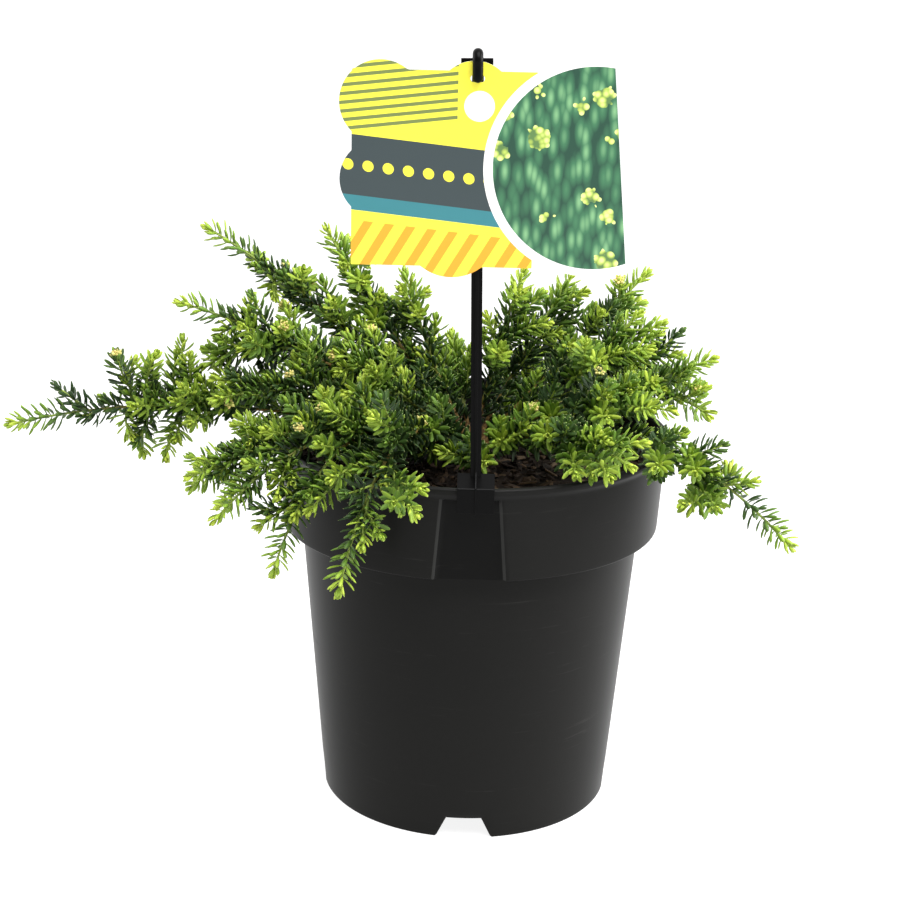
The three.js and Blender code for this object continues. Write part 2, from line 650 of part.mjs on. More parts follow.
// Needles in a golden-angle spiral along a stem, each from the middle of a stem face, and more at its tip
function needlesAlong(wood) {
  const { owner, stemNumber, centres, radii, sides, leafFrom, seed } = wood;
  const lengths = centres.slice(1).map((centre, index) => centre.distanceTo(centres[index]));
  const total = lengths.reduce((sum, length) => sum + length, 0);
  const across = acrossOf(wood.curve);
  const needles = [];
  const count = Math.max(1, Math.round(total * (1 - leafFrom) / NEEDLE_STEP));
  for (let index = 0; index < count + TIP_NEEDLES; index += 1) {
    const atTip = index >= count;
    const spread = leafFrom + (LAST_NEEDLE - leafFrom) * (index + 0.3) / count;
    const along = atTip ? 1 - TIP_STEP * (index - count) : spread;
    let distance = along * total;
    let piece = 0;
    while (piece < lengths.length - 1 && distance > lengths[piece]) {
      distance -= lengths[piece];
      piece += 1;
    }
    const share = Math.min(distance / lengths[piece], 1);
    const axis = new THREE.Vector3().subVectors(centres[piece + 1], centres[piece]).normalize();
    const up = axis.clone().cross(across).normalize();
    const root = centres[piece].clone().lerp(centres[piece + 1], share);
    const radius = THREE.MathUtils.lerp(radii[piece], radii[piece + 1], share);
    for (let attempt = 0; attempt < sides; attempt += 1) {
      const turn = (index * GOLDEN_ANGLE / (2 * Math.PI) + scatter(seed)) % 1;
      const face = Math.floor(turn * sides) + attempt + 0.5;
      const angle = (face + TURN_SPREAD * (scatter(seed + index) - 0.5)) * 2 * Math.PI / sides;
      const around = across.clone().multiplyScalar(Math.cos(angle)).addScaledVector(up, Math.sin(angle));
      const lean = THREE.MathUtils.degToRad(atTip ? TIP_LEAN : OLD_LEAN - LEAN_CLOSING * along);
      const direction = axis.clone().multiplyScalar(Math.cos(lean))
        .addScaledVector(around, Math.sin(lean))
        .add(new THREE.Vector3(0, 0, NEEDLE_RISE))
        .normalize();
      const varied = 1 - YOUNG_SHORTER * along + LENGTH_SPREAD * (scatter(seed * 3 + index) - 0.5);
      const length = NEEDLE_LENGTH * (atTip ? TIP_SHARE : varied);
      const bar = {
        owner,
        stemNumber,
        isStem: false,
        start: root.clone().addScaledVector(direction, 1.2 * radius),
        outer: root.clone().addScaledVector(direction, 0.4 * length),
        end: root.clone().addScaledVector(direction, length),
        radius: 0.4 * NEEDLE_WIDTH,
      };
      const blocked = [bar.start, bar.outer, bar.end].some((point) => nearHardware(point, bar.radius));
      if (!blocked && hasRoom(bar)) {
        placed.push(bar);
        needles.push(needle(root, direction, around, length, NEEDLE_SINK * radius));
        break;
      }
    }
  }
  return needles;
}

// One stem of a spray, from its curve and the places on the curve where its rings stand
function makeWood({ owner, stemNumber, curve, marks, startRadius, endRadius, sides, leafFrom, seed }) {
  const ringMarks = marks.slice(0, -1);
  const centres = ringMarks.map((mark) => curve.getPoint(mark));
  const radii = ringMarks.map((_, index) => (
    THREE.MathUtils.lerp(startRadius, endRadius, index / (ringMarks.length - 1))));
  const line = [...centres, curve.getPoint(marks.at(-1))];
  line.slice(1).forEach((end, index) => {
    const start = line[index];
    placed.push({ owner, stemNumber, isStem: true, start, outer: start, end, radius: radii[index] });
  });
  return { owner, stemNumber, curve, marks, centres, radii, sides, leafFrom, seed };
}

// All stems are laid out first, so that needles give way to every stem.
function layOutStems() {
  return Object.entries(SPRAYS).map(([name, spray], number) => {
    const main = mainCurve(spray);
    const woodEnd = markAt(main, BARE_WOOD);
    const from = markAt(main, BARE_WOOD + GAP);
    const marks = [...STEM_SHARES.map((share) => share + (1 - share) * from), LAST_RING, 1];
    const seed = 97 * number;
    const woods = [makeWood({
      owner: name,
      stemNumber: 0,
      curve: main,
      marks,
      startRadius: STEM_RADIUS,
      endRadius: STEM_TIP_RADIUS,
      sides: STEM_SIDES,
      leafFrom: MAIN_NEEDLES_FROM,
      seed,
    })];
    spray.shoots.forEach(([along, tip], order) => {
      const curve = shootCurve(woods[0], along, new THREE.Vector3(...tip));
      woods.push(makeWood({
        owner: name,
        stemNumber: order + 1,
        curve,
        marks: curve.getLength() > LONG_SHOOT ? LONG_SHOOT_MARKS : SHORT_SHOOT_MARKS,
        startRadius: ROOT_SHARE * THREE.MathUtils.lerp(STEM_RADIUS, STEM_TIP_RADIUS, along),
        endRadius: SHOOT_RADIUS,
        sides: SHOOT_SIDES,
        leafFrom: SHOOT_NEEDLES_FROM,
        seed: seed + 13 * (order + 1),
      }));
    });
    placed.push({
      owner: 'crown',
      isStem: true,
      start: CROWN,
      outer: CROWN,
      end: main.getPoint(woodEnd),
      radius: STEM_RADIUS + GAP,
    });
    return { name, woods, woodEnd };
  });
}

function makeCrown(layout) {
  const [trunkLow, trunkHigh] = [TRUNK_FOOT, CROWN.z + 2].map((z) => new THREE.Vector3(0, 0, z));
  const trunkPath = new THREE.LineCurve3(trunkLow, trunkHigh);
  const limbs = layout.map(({ woods, woodEnd }) => (
    stem(woods[0].curve, [0, woodEnd], [STEM_RADIUS, STEM_RADIUS + LIMB_FLARE], STEM_SIDES)));
  return surface(fuse([stem(trunkPath, [0, 1], [TRUNK_RADIUS, TRUNK_TOP_RADIUS], TRUNK_SIDES), ...limbs]));
}

function makeSpray({ woods }) {
  const bodies = woods.flatMap((wood) => {
    const body = stem(wood.curve, wood.marks, wood.radii, wood.sides);
    return [body, ...needlesAlong(wood)];
  });
  return surface(fuse(bodies));
}

function makeStick() {
  const web = STICK_WEB / 2;
  const half = STICK_WIDTH / 2;
  const deep = STICK_DEPTH / 2;
  const crossSection = new THREE.Shape([
    [-half, -web], [-web, -web], [-web, -deep], [web, -deep], [web, -web], [half, -web],
    [half, web], [web, web], [web, deep], [-web, deep], [-web, web], [-half, web],
  ].map(([x, y]) => new THREE.Vector2(x, y)));
  const height = STICK_TOP - STICK_FOOT;
  const bar = new THREE.ExtrudeGeometry(crossSection, { depth: height + STICK_SUNK, bevelEnabled: false });
  bar.translate(0, 0, -STICK_SUNK);
  const crossbar = block(
    [CROSSBAR.left, -CROSSBAR.depth / 2, CROSSBAR.bottom - STICK_FOOT],
    [CROSSBAR.right, CROSSBAR.depth / 2, CROSSBAR.top - STICK_FOOT],
  );
  const prongY = TAG_FRONT - GAP - HOOK_RADIUS - STICK_Y;
  const rise = HOOK_TOP - HOOK_RADIUS - STICK_FOOT;
  const bend = -prongY / 2;
  const hookPath = new THREE.CatmullRomCurve3([
    new THREE.Vector3(0, 0.3, height - 3),
    new THREE.Vector3(0, 0.3, rise - bend),
    new THREE.Vector3(0, -0.3 * bend, rise - 0.3 * bend),
    new THREE.Vector3(0, prongY / 2, rise),
    new THREE.Vector3(0, prongY + 0.3 * bend, rise - 0.3 * bend),
    new THREE.Vector3(0, prongY, rise - bend),
    new THREE.Vector3(0, prongY, HOOK_END - STICK_FOOT),
  ], false, 'centripetal');
  const hookMarks = Array.from({ length: HOOK_RINGS }, (_, index) => index / (HOOK_RINGS - 1));
  const hookRadii = hookMarks.map((mark) => (mark < 1 ? HOOK_RADIUS : HOOK_RADIUS / 2));
  const hook = stem(hookPath, hookMarks, hookRadii, HOOK_SIDES);
  const peg = block(
    [-PEG.half, prongY, SLOT.z - PEG.rise - STICK_FOOT],
    [PEG.half, -STICK_DEPTH / 2 - 0.2, SLOT.z + PEG.rise - STICK_FOOT],
  );
  const upright = fuse([solid(bar), crossbar, hook, peg])
    .rotate([0, THREE.MathUtils.radToDeg(STICK_LEAN), 0])
    .translate([STICK_X, STICK_Y, STICK_FOOT]);
  return surface(fuse([upright, ...makeClip()]));
}

// A hood over the rim with one plate in front, one behind, and a thin rib running down from the stick
function makeClip() {
  const back = CLIP_FRONT + CLIP_DEPTH;
  const hood = barAlongX([
    [CLIP_FRONT, CLIP_BOTTOM],
    [CLIP_FRONT + CLIP_WALL, CLIP_BOTTOM],
    [CLIP_FRONT + CLIP_WALL, POT_HEIGHT + GAP],
    [back - CLIP_WALL, POT_HEIGHT + 2.6],
    [back - CLIP_WALL, CLIP_BOTTOM + 1.5],
    [back, CLIP_BOTTOM + 1.5],
    [back, CLIP_ROOF.back],
    [CLIP_FRONT + 0.4, CLIP_ROOF.front],
    [CLIP_FRONT, CLIP_ROOF.front - 0.4],
  ], CLIP_X, CLIP_WIDTH);
  const rib = barAlongX([
    [CLIP_FRONT - RIB.proud, CLIP_BOTTOM - 0.5],
    [CLIP_FRONT + RIB.sunk, CLIP_BOTTOM - 0.5],
    [CLIP_FRONT + 0.8, CLIP_ROOF.front - RIB.sunk],
    [STICK_Y, POT_HEIGHT + 3],
    [STICK_Y, RIB.top],
    [STICK_Y - STICK_DEPTH / 2 - 0.25, RIB.top],
    [STICK_Y - STICK_DEPTH / 2 - 0.5, CLIP_ROOF.back + 1.5],
    [CLIP_FRONT - RIB.proud, CLIP_ROOF.front + RIB.sunk],
  ], STICK_X, RIB.width);
  return [hood, rib];
}

function makeTag() {
  const outline = new THREE.Shape([
    new THREE.Vector2(CARD.left, CARD.bottom),
    new THREE.Vector2(CARD.right, CARD.bottom),
    new THREE.Vector2(CARD.right, CARD.top),
    new THREE.Vector2(CARD.left, CARD.top),
  ]);
  const round = (x, z, radius, segments) => {
    const circle = new THREE.Shape().absarc(x, z, radius, 0, 2 * Math.PI, false);
    return plate(circle, TAG_FRONT, TAG_THICKNESS, segments);
  };
  const lobes = LOBES.map(({ x, z, radius }) => round(x, z, radius, 20));
  const [lowX, lowZ] = DISC_CUT.bottom;
  const [highX, highZ] = DISC_CUT.top;
  const offcut = new THREE.Shape([
    new THREE.Vector2(lowX + 40, lowZ - 20),
    new THREE.Vector2(lowX + (lowX - highX) * 20 / (highZ - lowZ), lowZ - 20),
    new THREE.Vector2(highX, highZ),
    new THREE.Vector2(highX + 50, highZ),
  ]);
  const slot = new THREE.Shape();
  const end = SLOT.width / 2 - SLOT.height / 2;
  slot.absarc(SLOT.x + end, SLOT.z, SLOT.height / 2, -Math.PI / 2, Math.PI / 2, false);
  slot.absarc(SLOT.x - end, SLOT.z, SLOT.height / 2, Math.PI / 2, 1.5 * Math.PI, false);
  const cutDepth = 6;
  const body = fuse([
    plate(outline, TAG_FRONT, TAG_THICKNESS, 1),
    round(DISC.x, DISC.z, DISC.radius, 48),
    ...lobes,
  ]);
  return surface(body
    .subtract(plate(offcut, TAG_FRONT - 2, cutDepth, 1))
    .subtract(plate(slot, TAG_FRONT - 2, cutDepth, 6)));
}

const plant = new THREE.Group();

function addPiece(name, geometry, material) {
  const mesh = new THREE.Mesh(geometry, material);
  mesh.name = name;
  plant.add(mesh);
}

const layout = layOutStems();
addPiece('pot', makePot(), blackPlastic);
addPiece('soil', makeSoil(), barkMix);
addPiece('crown', makeCrown(layout), wood);
layout.forEach((spray) => addPiece(`spray_${spray.name}`, makeSpray(spray), leaf));
addPiece('stick', makeStick(), stickPlastic);
addPiece('tag', makeTag(), card);

// The origin is the centre of the whole outline, seen from above, at the height of the foot.
const outer = new THREE.Box3().setFromObject(plant);
const centre = outer.getCenter(new THREE.Vector3());
plant.position.set(-centre.x, -centre.y, -outer.min.z);

const group = new THREE.Group();
group.add(plant);
group.updateMatrixWorld(true);

export default group;
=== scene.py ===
import math

import bpy
import numpy as np
from mathutils import Matrix, Vector
from mathutils.geometry import delaunay_2d_cdt


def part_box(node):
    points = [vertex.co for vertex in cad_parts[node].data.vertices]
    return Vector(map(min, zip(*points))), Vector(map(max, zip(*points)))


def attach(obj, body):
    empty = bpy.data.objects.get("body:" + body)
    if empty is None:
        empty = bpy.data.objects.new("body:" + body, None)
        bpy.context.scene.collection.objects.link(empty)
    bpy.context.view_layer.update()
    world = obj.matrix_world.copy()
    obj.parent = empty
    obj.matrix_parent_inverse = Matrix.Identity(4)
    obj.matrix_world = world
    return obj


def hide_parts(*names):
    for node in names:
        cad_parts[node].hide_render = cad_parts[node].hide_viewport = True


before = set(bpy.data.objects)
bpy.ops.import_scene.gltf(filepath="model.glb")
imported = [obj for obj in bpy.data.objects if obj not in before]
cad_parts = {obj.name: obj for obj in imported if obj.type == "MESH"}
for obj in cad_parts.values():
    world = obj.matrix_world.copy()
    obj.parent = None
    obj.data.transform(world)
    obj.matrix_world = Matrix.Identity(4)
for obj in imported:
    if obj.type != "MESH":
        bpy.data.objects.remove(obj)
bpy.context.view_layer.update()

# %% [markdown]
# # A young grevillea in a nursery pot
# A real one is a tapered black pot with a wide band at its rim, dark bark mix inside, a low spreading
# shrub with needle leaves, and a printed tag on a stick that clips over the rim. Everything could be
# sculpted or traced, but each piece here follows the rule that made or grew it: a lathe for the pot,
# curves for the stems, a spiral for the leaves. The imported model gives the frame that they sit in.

MM = 0.001

pot_low, pot_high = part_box("pot")
AXIS = np.array([(pot_low[0] + pot_high[0]) / 2, (pot_low[1] + pot_high[1]) / 2, 0.0])


def scatter(seed):
    """A repeatable draw between 0 and 1 for a number or an array of numbers."""
    wave = np.sin(np.asarray(seed, float) * 127.1 + 311.7) * 43758.5453
    return wave - np.floor(wave)


print(f"pot axis at {AXIS[0] * 1000:.1f}, {AXIS[1] * 1000:.1f} mm")

# %% [markdown]
# ## Meshes from points
# Add-ons and modifiers can make each shape, but plain arrays of points and faces are quick for thousands
# of leaves and show the rule itself. One helper turns millimetres about the pot's axis into a mesh, gives
# it a finish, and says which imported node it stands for.

# %% A mesh piece
def add_object(name, data):
    """A new object, linked to the scene."""
    thing = bpy.data.objects.new(name, data)
    bpy.context.scene.collection.objects.link(thing)
    return thing


def build_piece(name, points, faces, finish, slot, nodes, tints=None, smooth=True):
    """One visible piece from points in millimetres about the pot's axis."""
    mesh = bpy.data.meshes.new(name)
    mesh.from_pydata((np.asarray(points) * MM + AXIS).tolist(), [], faces)
    mesh.polygons.foreach_set("use_smooth", [smooth] * len(mesh.polygons))
    if tints is not None:
        layer = mesh.attributes.new("tint", "FLOAT_COLOR", "POINT")
        layer.data.foreach_set("color", np.asarray(tints, float).ravel())
    mesh.update()
    piece = add_object(name, mesh)
    mesh.materials.append(finish)
    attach(piece, "root")
    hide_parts(*nodes)
    return piece


def join_parts(parts):
    """Stacks the points, faces and tints of several parts into one."""
    points, faces, tints, start = [], [], [], 0
    for part in parts:
        points.append(part[0])
        faces.extend([[corner + start for corner in face] for face in part[1]])
        if len(part) > 2:
            tints.append(part[2])
        start += len(part[0])
    return np.vstack(points), faces, np.vstack(tints) if tints else None


def circle(count):
    """Angles evenly spaced once round."""
    return np.arange(count) * 2 * math.pi / count


def ring_faces(rings, sides, capped=True):
    """Faces between rings of points. When capped, the two that close the ends come first."""
    last = (rings - 1) * sides
    faces = [list(range(sides))[::-1], list(range(last, last + sides))] if capped else []
    for start in range(0, last, sides):
        for side in range(sides):
            a, b = start + side, start + (side + 1) % sides
            faces.append([a, b, b + sides, a + sides])
    return faces


# %% [markdown]
# ## Finishes written as sums
# Blender's shader editor wires small boxes together. Here a socket is wrapped in a class that knows plus,
# minus, times and divide, so a mask reads like a formula. Colours and vectors go through the nodes that
# keep all their channels.

# %% A socket that can be added and multiplied
class Field:
    """A value that changes over a surface."""

    def __init__(self, finish, socket):
        self.finish = finish
        self.socket = socket

    def math(self, operation, *others):
        values = dict(enumerate((self, *others)))
        return self.finish.node("ShaderNodeMath", {"operation": operation}, values)

    def __add__(self, other):
        return self.math("ADD", other)

    def __sub__(self, other):
        return self.math("SUBTRACT", other)

    def __mul__(self, other):
        return self.math("MULTIPLY", other)

    def __truediv__(self, other):
        return self.math("DIVIDE", other)

    def above(self, edge):
        return self.math("GREATER_THAN", edge)

    def below(self, edge):
        return self.math("LESS_THAN", edge)


# %% A finish
class Finish:
    """A material with one Principled shader, and one method that adds any other node."""

    def __init__(self, name, **constants):
        self.material = bpy.data.materials.new(name)
        self.material.use_nodes = True
        self.tree = self.material.node_tree
        self.shader = self.tree.nodes["Principled BSDF"]
        for socket, value in constants.items():
            self.shader.inputs[socket.replace("_", " ")].default_value = value

    def node(self, kind, settings=None, values=None, output=0):
        node = self.tree.nodes.new(kind)
        for key, setting in (settings or {}).items():
            if key == "stops":
                ramp = node.color_ramp.elements
                while len(ramp) < len(setting):
                    ramp.new(1.0)
                for element, (place, colour) in zip(ramp, setting):
                    element.position = place
                    element.color = (*colour, 1.0)
            else:
                setattr(node, key, setting)
        for key, value in (values or {}).items():
            if isinstance(value, Field):
                self.tree.links.new(value.socket, node.inputs[key])
            else:
                node.inputs[key].default_value = value
        return Field(self, node.outputs[output])

    def place(self):
        """The point in the object's own frame, in metres."""
        return self.node("ShaderNodeTexCoord", output="Object")

    def noise(self, scale, detail=3.0, roughness=0.5, at=None):
        values = {"Vector": at or self.place(), "Scale": scale, "Detail": detail, "Roughness": roughness}
        return self.node("ShaderNodeTexNoise", {}, values)

    def split(self, field, kind="ShaderNodeSeparateXYZ"):
        first = self.node(kind, {}, {0: field})
        return [Field(self, socket) for socket in first.socket.node.outputs]

    def tints(self):
        """The three numbers stored on each point."""
        tint = self.node("ShaderNodeAttribute", {"attribute_name": "tint"}, {}, "Color")
        return self.split(tint, "ShaderNodeSeparateColor")[:3]

    def blend(self, factor, low, high):
        """Colour low where the factor is 0 and high where it is 1."""
        low = (*low, 1.0) if isinstance(low, tuple) else low
        high = (*high, 1.0) if isinstance(high, tuple) else high
        settings = {"data_type": "RGBA", "clamp_factor": True}
        return self.node("ShaderNodeMix", settings, {0: factor, 6: low, 7: high}, 2)

    def steps(self, field, *stops):
        return self.node("ShaderNodeValToRGB", {"stops": stops}, {0: field})

    def bump(self, height, distance, strength=1.0):
        values = {"Height": height, "Distance": distance, "Strength": strength}
        return self.node("ShaderNodeBump", {}, values)

    def wear(self, **sockets):
        """Joins fields to the shader's sockets."""
        for socket, field in sockets.items():
            self.tree.links.new(field.socket, self.shader.inputs[socket.replace("_", " ")])
        return self.material


# %% [markdown]
# ## The pot
# The real pot is injection moulded: a tapered body, a wider band at the top with a small lip, feet between
# notches, and a flat sunk into the band where the tag's clip sits. A lathe and Boolean cuts would do it.
# Here one sheet of points goes round the wall's section and each point is pushed to where the mould's
# flat or notch would be, which keeps the mesh even and the edges crisp.

# %% Sizes of the pot, in millimetres
POT_HEIGHT = 173
RIM_RADIUS = 90
FOOT_RADIUS = 66.8
BODY_TOP_RADIUS = 77.8
BAND_BOTTOM = 130.8
BAND_RADIUS = 86.1
WALL = 2.1
FLOOR_UNDERSIDE = 10.5
FLOOR_TOP = 12.9
DRAIN_RADIUS = 4
DRAIN_CIRCLE = 44
LIP_HEIGHT = 3.2
FEATURE_TURN = math.radians(0.4)
NOTCH_HEIGHT = 9.8
NOTCH_HALF_TOP = 7.9
NOTCH_HALF_BOTTOM = 12.5
FLAT_TOP = 167.8
FLAT_HALF_TOP = 11.6
FLAT_HALF_BOTTOM = 14.4
FLAT_DEPTH_TOP = -86.2
FLAT_DEPTH_BOTTOM = -82.9
FLAT_FLARE = 0.6
PAD_WALL = 1.5
PAD_MARGIN = 1.7
PAD_SLOPE = 3
BAND_DRAFT = 0.06
FOOT_ZONE_TOP = 11
NOTCH_FADE = 12
POT_COLUMNS = 480
DRILL_SIDES = 32
DRILL_OVERRUN = 2


# %% The section of the wall
def arc(centre, radius, start, end, count=5):
    """Rounds a corner of the section, angles in degrees."""
    return [
        (centre[0] + radius * math.cos(math.radians(a)), centre[1] + radius * math.sin(math.radians(a)))
        for a in np.linspace(start, end, count)
    ]


def inner_radius(up):
    """Radius of the band's inner face, from 0 at the band's foot to 1 at the rim."""
    return BAND_RADIUS - WALL + (RIM_RADIUS - LIP_HEIGHT - BAND_RADIUS + WALL) * up


def wall_section():
    """(radius, height, zone) round the wall, from the middle of the underside to the middle of the floor."""
    rows = []

    def add(zone, pairs):
        rows.extend((radius, height, zone) for radius, height in pairs)

    lip_low = POT_HEIGHT - LIP_HEIGHT
    band_edge = BAND_RADIUS + BAND_DRAFT * (FLAT_TOP - BAND_BOTTOM)
    add("under", [(r, FLOOR_UNDERSIDE) for r in (0.01, 20, 33, 44, 55, 61, FOOT_RADIUS - 2.2)])
    add("foot", [(FOOT_RADIUS - 2.3, z) for z in (7.5, 5, 2.5, 0.5)])
    add("foot", [(FOOT_RADIUS - 2.0, 0.0), (FOOT_RADIUS - 0.6, 0.0)])
    add("foot", arc((FOOT_RADIUS - 0.6, 0.7), 0.7, -70, 0, 4))
    for z in np.linspace(3, 129, 22):
        radius = FOOT_RADIUS + (BODY_TOP_RADIUS - FOOT_RADIUS) * z / BAND_BOTTOM
        add("foot" if z < FOOT_ZONE_TOP else "wall", [(radius, z)])
    add("band", arc((BODY_TOP_RADIUS + 0.9, BAND_BOTTOM - 1.1), 0.9, 180, 100, 4))
    add("band", [(BODY_TOP_RADIUS + 4, BAND_BOTTOM - 0.1), (BAND_RADIUS - 1.0, BAND_BOTTOM)])
    add("band", arc((BAND_RADIUS - 0.8, BAND_BOTTOM + 0.8), 0.8, -75, 0, 5))
    for z in np.linspace(BAND_BOTTOM + 2, FLAT_TOP - 0.6, 16):
        add("band", [(BAND_RADIUS + BAND_DRAFT * (z - BAND_BOTTOM), z)])
    add("band", [(band_edge, FLAT_TOP)])
    add("lip", [(band_edge, FLAT_TOP), (RIM_RADIUS - 1.3, lip_low - 1.1)])
    add("lip", arc((RIM_RADIUS - 1.9, lip_low + 1.3), 1.9, -40, 0, 4))
    add("lip", arc((RIM_RADIUS - 1.1, POT_HEIGHT - 1.1), 1.1, 0, 90, 6))
    add("lip", arc((RIM_RADIUS - 2.3, POT_HEIGHT - 0.9), 0.9, 90, 170, 5))
    for z in np.linspace(POT_HEIGHT - 2, BAND_BOTTOM + WALL + 1, 14):
        add("inside", [(inner_radius((z - BAND_BOTTOM) / (POT_HEIGHT - BAND_BOTTOM)), z)])
    add("well", [(BODY_TOP_RADIUS - WALL, BAND_BOTTOM + WALL)])
    add("well", [(FOOT_RADIUS - WALL + 0.8, FLOOR_TOP), (0.01, FLOOR_TOP)])
    return rows


print(f"{len(wall_section())} rows round the wall's section")


# %% The mould's flat, pad and notches, pushed into the turned wall
def flat_face(x, z):
    """Where the sunk flat lies along Y, with its flared sides."""
    up = (z - BAND_BOTTOM) / (FLAT_TOP - BAND_BOTTOM)
    half = FLAT_HALF_BOTTOM + (FLAT_HALF_TOP - FLAT_HALF_BOTTOM) * up
    depth = FLAT_DEPTH_BOTTOM + (FLAT_DEPTH_TOP - FLAT_DEPTH_BOTTOM) * up
    return depth - np.maximum(np.abs(x) - half, 0) / FLAT_FLARE


def pad_face(x, z):
    """The inner side of the pad that keeps the wall whole behind the flat."""
    up = np.minimum((z - BAND_BOTTOM) / (FLAT_TOP - BAND_BOTTOM), 1)
    half = FLAT_HALF_TOP + PAD_MARGIN
    depth = FLAT_DEPTH_BOTTOM + (FLAT_DEPTH_TOP - FLAT_DEPTH_BOTTOM) * up + PAD_WALL
    return depth - np.maximum(np.abs(x) - half, 0) * PAD_SLOPE


def notch_height(across):
    """How high the notch reaches at a distance across it."""
    slope = (NOTCH_HALF_BOTTOM - np.abs(across)) / (NOTCH_HALF_BOTTOM - NOTCH_HALF_TOP)
    return NOTCH_HEIGHT * np.clip(slope, 0, 1)


def pot_surface():
    turn = circle(POT_COLUMNS)
    across = FOOT_RADIUS * np.sin((turn + math.pi / 4) % (math.pi / 2) - math.pi / 4)
    rings = []
    for radius, height, zone in wall_section():
        x = radius * np.cos(turn)
        y = radius * np.sin(turn)
        z = np.full(POT_COLUMNS, float(height))
        if zone == "band":
            y = np.where(y < 0, np.maximum(y, flat_face(x, height)), y)
        if zone == "inside":
            y = np.where(y < 0, np.maximum(y, pad_face(x, height)), y)
        if zone == "foot":
            lifted = notch_height(across)
            z = lifted + (z * (1 - lifted / NOTCH_FADE) if height < NOTCH_FADE else z - lifted)
        rings.append(np.stack([x, y, z], axis=1))
    points = np.vstack(rings)
    c, s = math.cos(FEATURE_TURN), math.sin(FEATURE_TURN)
    points[:, :2] = points[:, :2] @ np.array([[c, s], [-s, c]])
    faces = ring_faces(len(rings), POT_COLUMNS)
    return points, faces[2:] + faces[:2]


# %% [markdown]
# The plastic is black with a dull face. Noise moves its roughness a little, and faint scuffs and dust
# lighten it. The label flat is painted darker, a painted shade for its recess, and its two flared edges
# are painted paler, a painted highlight where side light would catch them. A clean black would look
# like lacquer, and a painted mask would need unwrapping, so the marks follow formulas.

# %% The pot's finish
FRONT_FROM = 70
FLARE_START = 0.2
FLARE_END = 1.5
# Painted shade: the sunk label flat is coloured darker than the band around it.
FLAT_PAINTED_SHADE = (0.004, 0.004, 0.0038)
# Painted highlight: the flat's two flared edges are coloured paler, as if lit from the sides.
FLARE_PAINTED_HIGHLIGHT = (0.026, 0.026, 0.025)


def pot_finish():
    finish = Finish("matte_black_plastic", Specular_IOR_Level=0.06)
    cloud = finish.noise(9.0, 4.0)
    grain = finish.noise(1400.0, 2.0)
    stretched = finish.node("ShaderNodeMapping", {}, {"Vector": finish.place(), "Scale": (6.0, 6.0, 160.0)})
    scuff = finish.noise(3.0, 5.0, 0.7, stretched).math("SUBTRACT", 0.62).math("MAXIMUM", 0.0) * 3.0
    colour = finish.blend(cloud, (0.0078, 0.0077, 0.0073), (0.0115, 0.0114, 0.0107))
    x, y, z = finish.split(finish.place())
    x = (x - float(AXIS[0])) / MM
    up = (z / MM - BAND_BOTTOM) / (FLAT_TOP - BAND_BOTTOM)
    past_edge = x.math("ABSOLUTE") + up * (FLAT_HALF_BOTTOM - FLAT_HALF_TOP) - FLAT_HALF_BOTTOM
    in_band = up.above(0.0) * up.below(1.0) * y.below(float(AXIS[1]) - FRONT_FROM * MM)
    # Painted shade: the label flat is darkened in its colour, as if in the shade of its recess.
    colour = finish.blend(in_band * past_edge.below(FLARE_START), colour, FLAT_PAINTED_SHADE)
    # Painted highlight: the flared edges beside the flat get a paler colour.
    flare_highlight = in_band * past_edge.above(FLARE_START) * past_edge.below(FLARE_END)
    colour = finish.blend(flare_highlight, colour, FLARE_PAINTED_HIGHLIGHT)
    dust_and_painted_light = finish.blend(scuff, colour, (0.05, 0.0495, 0.047))
    rough = cloud * 0.12 + scuff * 0.3 + 0.3
    return finish.wear(Base_Color=dust_and_painted_light, Roughness=rough, Normal=finish.bump(grain, 0.00003, 0.5))


pot_plastic = pot_finish()
pot_points, pot_faces = pot_surface()
pot = build_piece("nursery_pot", pot_points, pot_faces, pot_plastic, "pot_plastic", ["pot"])
print(f"pot: {len(pot_faces)} faces")

# %% [markdown]
# Water leaves through four round holes in the raised floor. On the real pot pins in the mould leave them;
# here four drills are taken out of the finished mesh with one Boolean, because the holes cross the turned
# rings at odd places. The drills are then removed.

# %% Drain holes
def drill_drains(piece):
    """Takes four upright drills out of the piece."""
    turn = circle(DRILL_SIDES)
    parts = []
    for quarter in range(4):
        angle = math.radians(45 + 90 * quarter) + FEATURE_TURN
        x = DRAIN_CIRCLE * math.cos(angle) + DRAIN_RADIUS * np.cos(turn)
        y = DRAIN_CIRCLE * math.sin(angle) + DRAIN_RADIUS * np.sin(turn)
        heights = (FLOOR_UNDERSIDE - DRILL_OVERRUN, FLOOR_TOP + DRILL_OVERRUN)
        rings = [np.stack([x, y, np.full(DRILL_SIDES, z)], axis=1) for z in heights]
        parts.append((np.vstack(rings), ring_faces(2, DRILL_SIDES)))
    points, faces, _ = join_parts(parts)
    drills = bpy.data.meshes.new("drills")
    drills.from_pydata((points * MM + AXIS).tolist(), [], faces)
    cutter = add_object("drills", drills)
    cut = piece.modifiers.new("drains", "BOOLEAN")
    cut.object = cutter
    cut.operation = "DIFFERENCE"
    cut.solver = "EXACT"
    holed = bpy.data.meshes.new_from_object(piece.evaluated_get(bpy.context.evaluated_depsgraph_get()))
    piece.modifiers.clear()
    piece.data = holed
    bpy.data.objects.remove(cutter)
    bpy.data.meshes.remove(drills)
    return len(holed.polygons)


print(f"pot with its drain holes: {drill_drains(pot)} faces")

# %% [markdown]
# ## Potting mix
# Nursery mix is composted bark: dark crumbs with flat chips lying at all angles. A displaced disc alone
# looks like cloth, so the disc carries several hundred separate chips, each a small irregular wedge,
# dropped by a seeded draw and mostly lying flat.

# %% The soil's body
SOIL_TOP = 156.5
SOIL_EDGE_UP = 0.6
SOIL_EDGE_GAP = 0.9
SOIL_RINGS = 46
SOIL_COLUMNS = 150
PAD_LINE = -81.1


